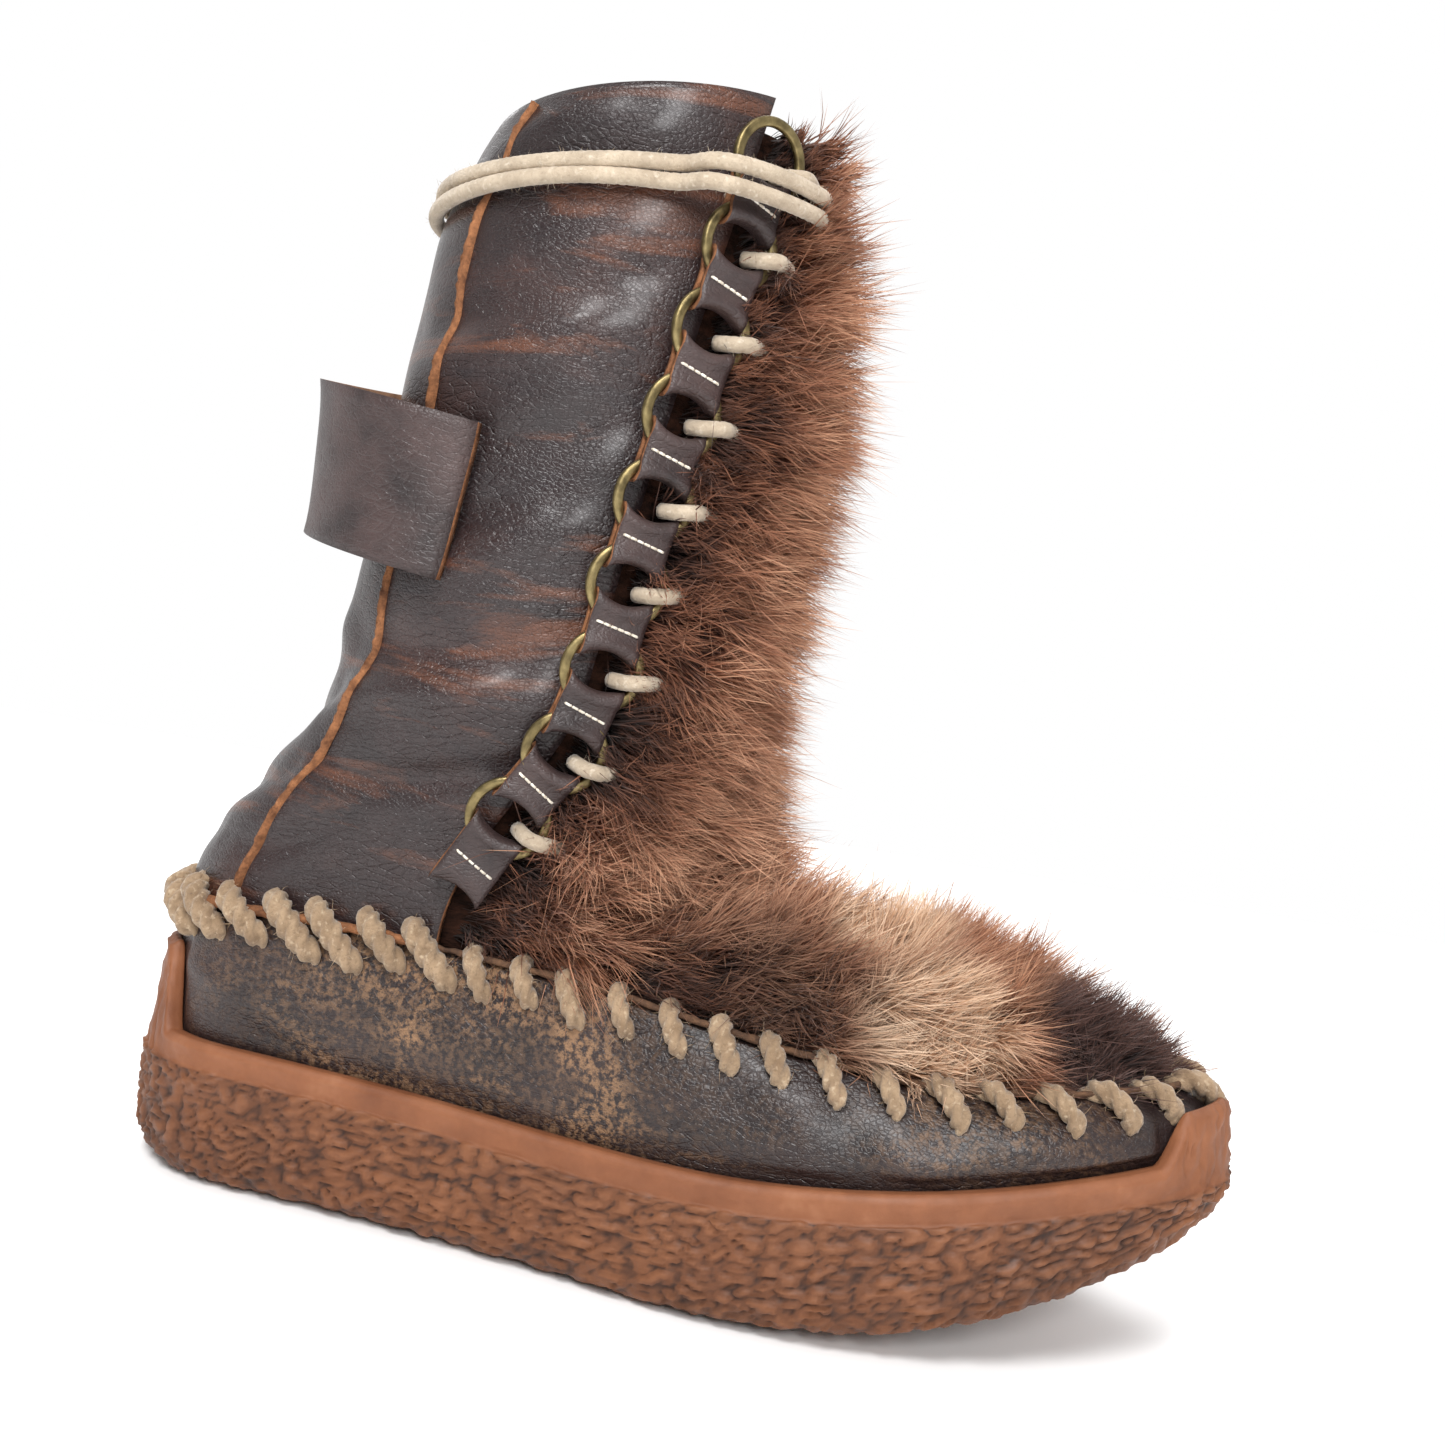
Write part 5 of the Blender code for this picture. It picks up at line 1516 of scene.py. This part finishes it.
def make_hair(name, low, high, seed):
    """Hairs of one stretch of the hide, leaning together in locks."""
    rng = np.random.default_rng(seed)
    rows, wide = SKIN.area.shape
    inside = (SKIN.rows >= low) & (SKIN.rows <= high)
    weight = (SKIN.area * inside[:, None]).reshape(-1)
    cell = rng.choice(rows * wide, HAIRS_PER_PIECE, p=weight / weight.sum())
    row = np.clip((cell // wide + rng.uniform(-0.5, 0.5, len(cell))) / (rows - 1), 0, 1)
    across = np.clip((cell % wide + rng.uniform(-0.5, 0.5, len(cell))) / (wide - 1) * 2 - 1, -1, 1)
    to_edge = SKIN.read(SKIN.to_edge, row, across)
    margin = np.interp(row, [0.40, 0.56], [1.5 * MM, 6.0 * MM])
    keep = to_edge > margin * rng.uniform(0.8, 1.25, len(row))
    row, across, to_edge = row[keep], across[keep], to_edge[keep]
    count = len(row)
    root = SKIN.read(SKIN.points, row, across)
    normal = unit(SKIN.read(SKIN.normal, row, across))

    # Each hair leans toward the tip of the nearest of many scattered middles
    lock_count = count // HAIRS_PER_LOCK
    middle = root[rng.choice(count, lock_count, replace=False)]
    lock = np.empty(count, int)
    for start in range(0, count, 4000):
        gap = np.linalg.norm(root[start : start + 4000, None] - middle[None], axis=2)
        lock[start : start + 4000] = gap.argmin(axis=1)
    lock_way = rng.standard_normal((lock_count, 3))[lock]
    lock_size = rng.uniform(0.72, 1.30, lock_count)
    lock_tone = rng.random(lock_count)[lock]
    lock_size = (lock_size * (1.12 + 0.42 * noise_at(middle * 42)))[lock]

    lie = columns(LIE)
    combed = np.zeros((count, 3))
    combed[:, 0] = np.interp(row, lie[0], lie[1])
    combed[:, 2] = np.interp(row, lie[0], lie[2])
    stray = rng.random(count) < 0.05
    wild = np.where(stray[:, None], 0.55, 0.13) * rng.standard_normal((count, 3))
    way = unit(0.60 * normal + 0.85 * combed + 0.24 * lock_way + wild)
    lift = np.sum(way * normal, axis=1, keepdims=True)
    way = unit(way + normal * np.maximum(0.32 - lift, 0))
    lift = np.maximum(np.sum(way * normal, axis=1), 0.45)
    length = pile_at(row, to_edge) / lift * lock_size * rng.uniform(0.72, 1.12, count)
    length = np.minimum(length * np.interp(row, *HAIR_GROWTH), np.interp(row, *LONGEST_HAIR) * MM)
    toward = middle[lock] + lock_way * 1.0 * MM - root
    toward = toward - normal * np.sum(toward * normal, axis=1, keepdims=True)
    bend = 0.85 * toward / length[:, None] + 0.13 * rng.standard_normal((count, 3))
    bend[:, 2] -= 0.10
    width = rng.uniform(0.26, 0.46, count) * MM
    points, quads, tris, uv = blades(root + normal * 0.2 * MM, way, bend, length, width, rng)
    tone = 0.42 + 0.40 * lock_tone + 0.18 * rng.random(count)
    inner = ease((to_edge - 5 * MM) / (24 * MM))
    tone = tone * np.where(row > 0.42, mix(0.30, 1.0, inner), 0.92)
    uv[:, 0] = np.repeat(tone, len(uv) // count)
    return dress(mesh_object(f"fur_hair_{name}", points, [quads, tris], [HAIR], uvs=uv), "fur")


def make_fur():
    make_under_fur()
    for i, (name, low, high) in enumerate(FUR_PIECES):
        make_hair(name, low, high, 100 + i)


# Stage: the camera stands as in the photograph, turned to the one boot that is built

CAMERA_PLACE = (0.175018, -0.382196, 0.146806)
CAMERA_TURN = (-0.389, -0.037, 0.134)
PHOTO_WIDTH = 1445
# In pixels of the photograph: focal length, and from its middle to the middle of the boot, right and up
FOCAL = 1360.149
AIM_SHIFT = (212.5, -19.5)
CLOSER = 1.13
FLOOR_HALF = 1.1
# Place, aim, size, watts
SOFT_BOXES = (
    ((0.05, -0.95, 1.20), (0.03, 0.0, 0.14), 0.45, 17.0),
    ((0.52, -0.95, 0.62), (0.05, 0.0, 0.16), 0.30, 6.5),
    ((-0.30, 0.90, 1.20), (0.06, 0.2, 0.10), 0.9, 12.0),
)


def make_camera():
    yaw, pitch, roll = CAMERA_TURN
    forward = np.array([math.sin(yaw), math.cos(yaw), 0.0])
    right = np.array([math.cos(yaw), -math.sin(yaw), 0.0])
    ahead = forward * math.cos(pitch) + UP * math.sin(pitch)
    above = UP * math.cos(pitch) - forward * math.sin(pitch)
    across = right * math.cos(roll) + above * math.sin(roll)
    above = -right * math.sin(roll) + above * math.cos(roll)
    aim = unit(ahead * FOCAL + across * AIM_SHIFT[0] + above * AIM_SHIFT[1])
    side = unit(across - aim * float(across @ aim))
    camera = bpy.data.cameras.new("camera")
    camera.sensor_width = 36.0
    camera.lens = CLOSER * FOCAL / PHOTO_WIDTH * camera.sensor_width
    camera.clip_start = 0.01
    obj = linked("camera", camera)
    place = np.column_stack([side, np.cross(side, aim), -aim, CAMERA_PLACE])
    obj.matrix_world = Matrix((*place.tolist(), (0, 0, 0, 1)))
    bpy.context.scene.camera = obj


def make_floor():
    half = FLOOR_HALF
    corners = np.array([(-half, -half, 0), (half, -half, 0), (half, half, 0), (-half, half, 0)])
    floor = mesh_object("floor", corners, np.array([[0, 1, 2, 3]]), [floor_paint()], smooth_shaded=False)
    floor.location.z = -0.0004


def make_lights():
    world = bpy.data.worlds.new("studio")
    bpy.context.scene.world = world
    world.use_nodes = True
    tree = world.node_tree
    back = tree.nodes["Background"]
    back.inputs["Color"].default_value = (1.0, 1.0, 1.0, 1.0)
    # White behind the boot, dimmer on the camera's side, so that the leather keeps its darks
    where = tree.nodes.new("ShaderNodeTexCoord")
    split = tree.nodes.new("ShaderNodeSeparateXYZ")
    share = tree.nodes.new("ShaderNodeMapRange")
    share.interpolation_type = "SMOOTHSTEP"
    for key, value in (("From Min", -0.50), ("From Max", 0.20), ("To Min", 0.36), ("To Max", 1.0)):
        share.inputs[key].default_value = value
    tree.links.new(where.outputs["Generated"], split.inputs[0])
    tree.links.new(split.outputs["Y"], share.inputs["Value"])
    tree.links.new(share.outputs[0], back.inputs["Strength"])
    bpy.context.scene.view_settings.view_transform = "Standard"
    for i, (place, aim, size, watts) in enumerate(SOFT_BOXES):
        lamp = bpy.data.lights.new(f"soft_box_{i}", "AREA")
        lamp.size = size
        lamp.energy = watts
        obj = linked(f"soft_box_{i}", lamp)
        obj.location = place
        obj.rotation_euler = (Vector(aim) - Vector(place)).to_track_quat("-Z", "Y").to_euler()


def dress_kept_nodes():
    for node, material in (("insole", BOARD), ("lace_tip_back", BRASS), ("lace_tip_front", BRASS)):
        obj = bpy.data.objects[node]
        for held in obj.material_slots:
            held.material = material


make_camera()
make_lace()
make_sole()
make_upper()
make_seam("seam_edge_lateral", -SIDE_SEAM_PLACE, "seam_lateral")
make_seam("seam_edge_medial", SIDE_SEAM_PLACE, "seam_medial")
make_chains()
make_whip_stitch()
make_seam_edges()
make_back_loop()
make_fur()
dress_kept_nodes()
make_floor()
make_lights()
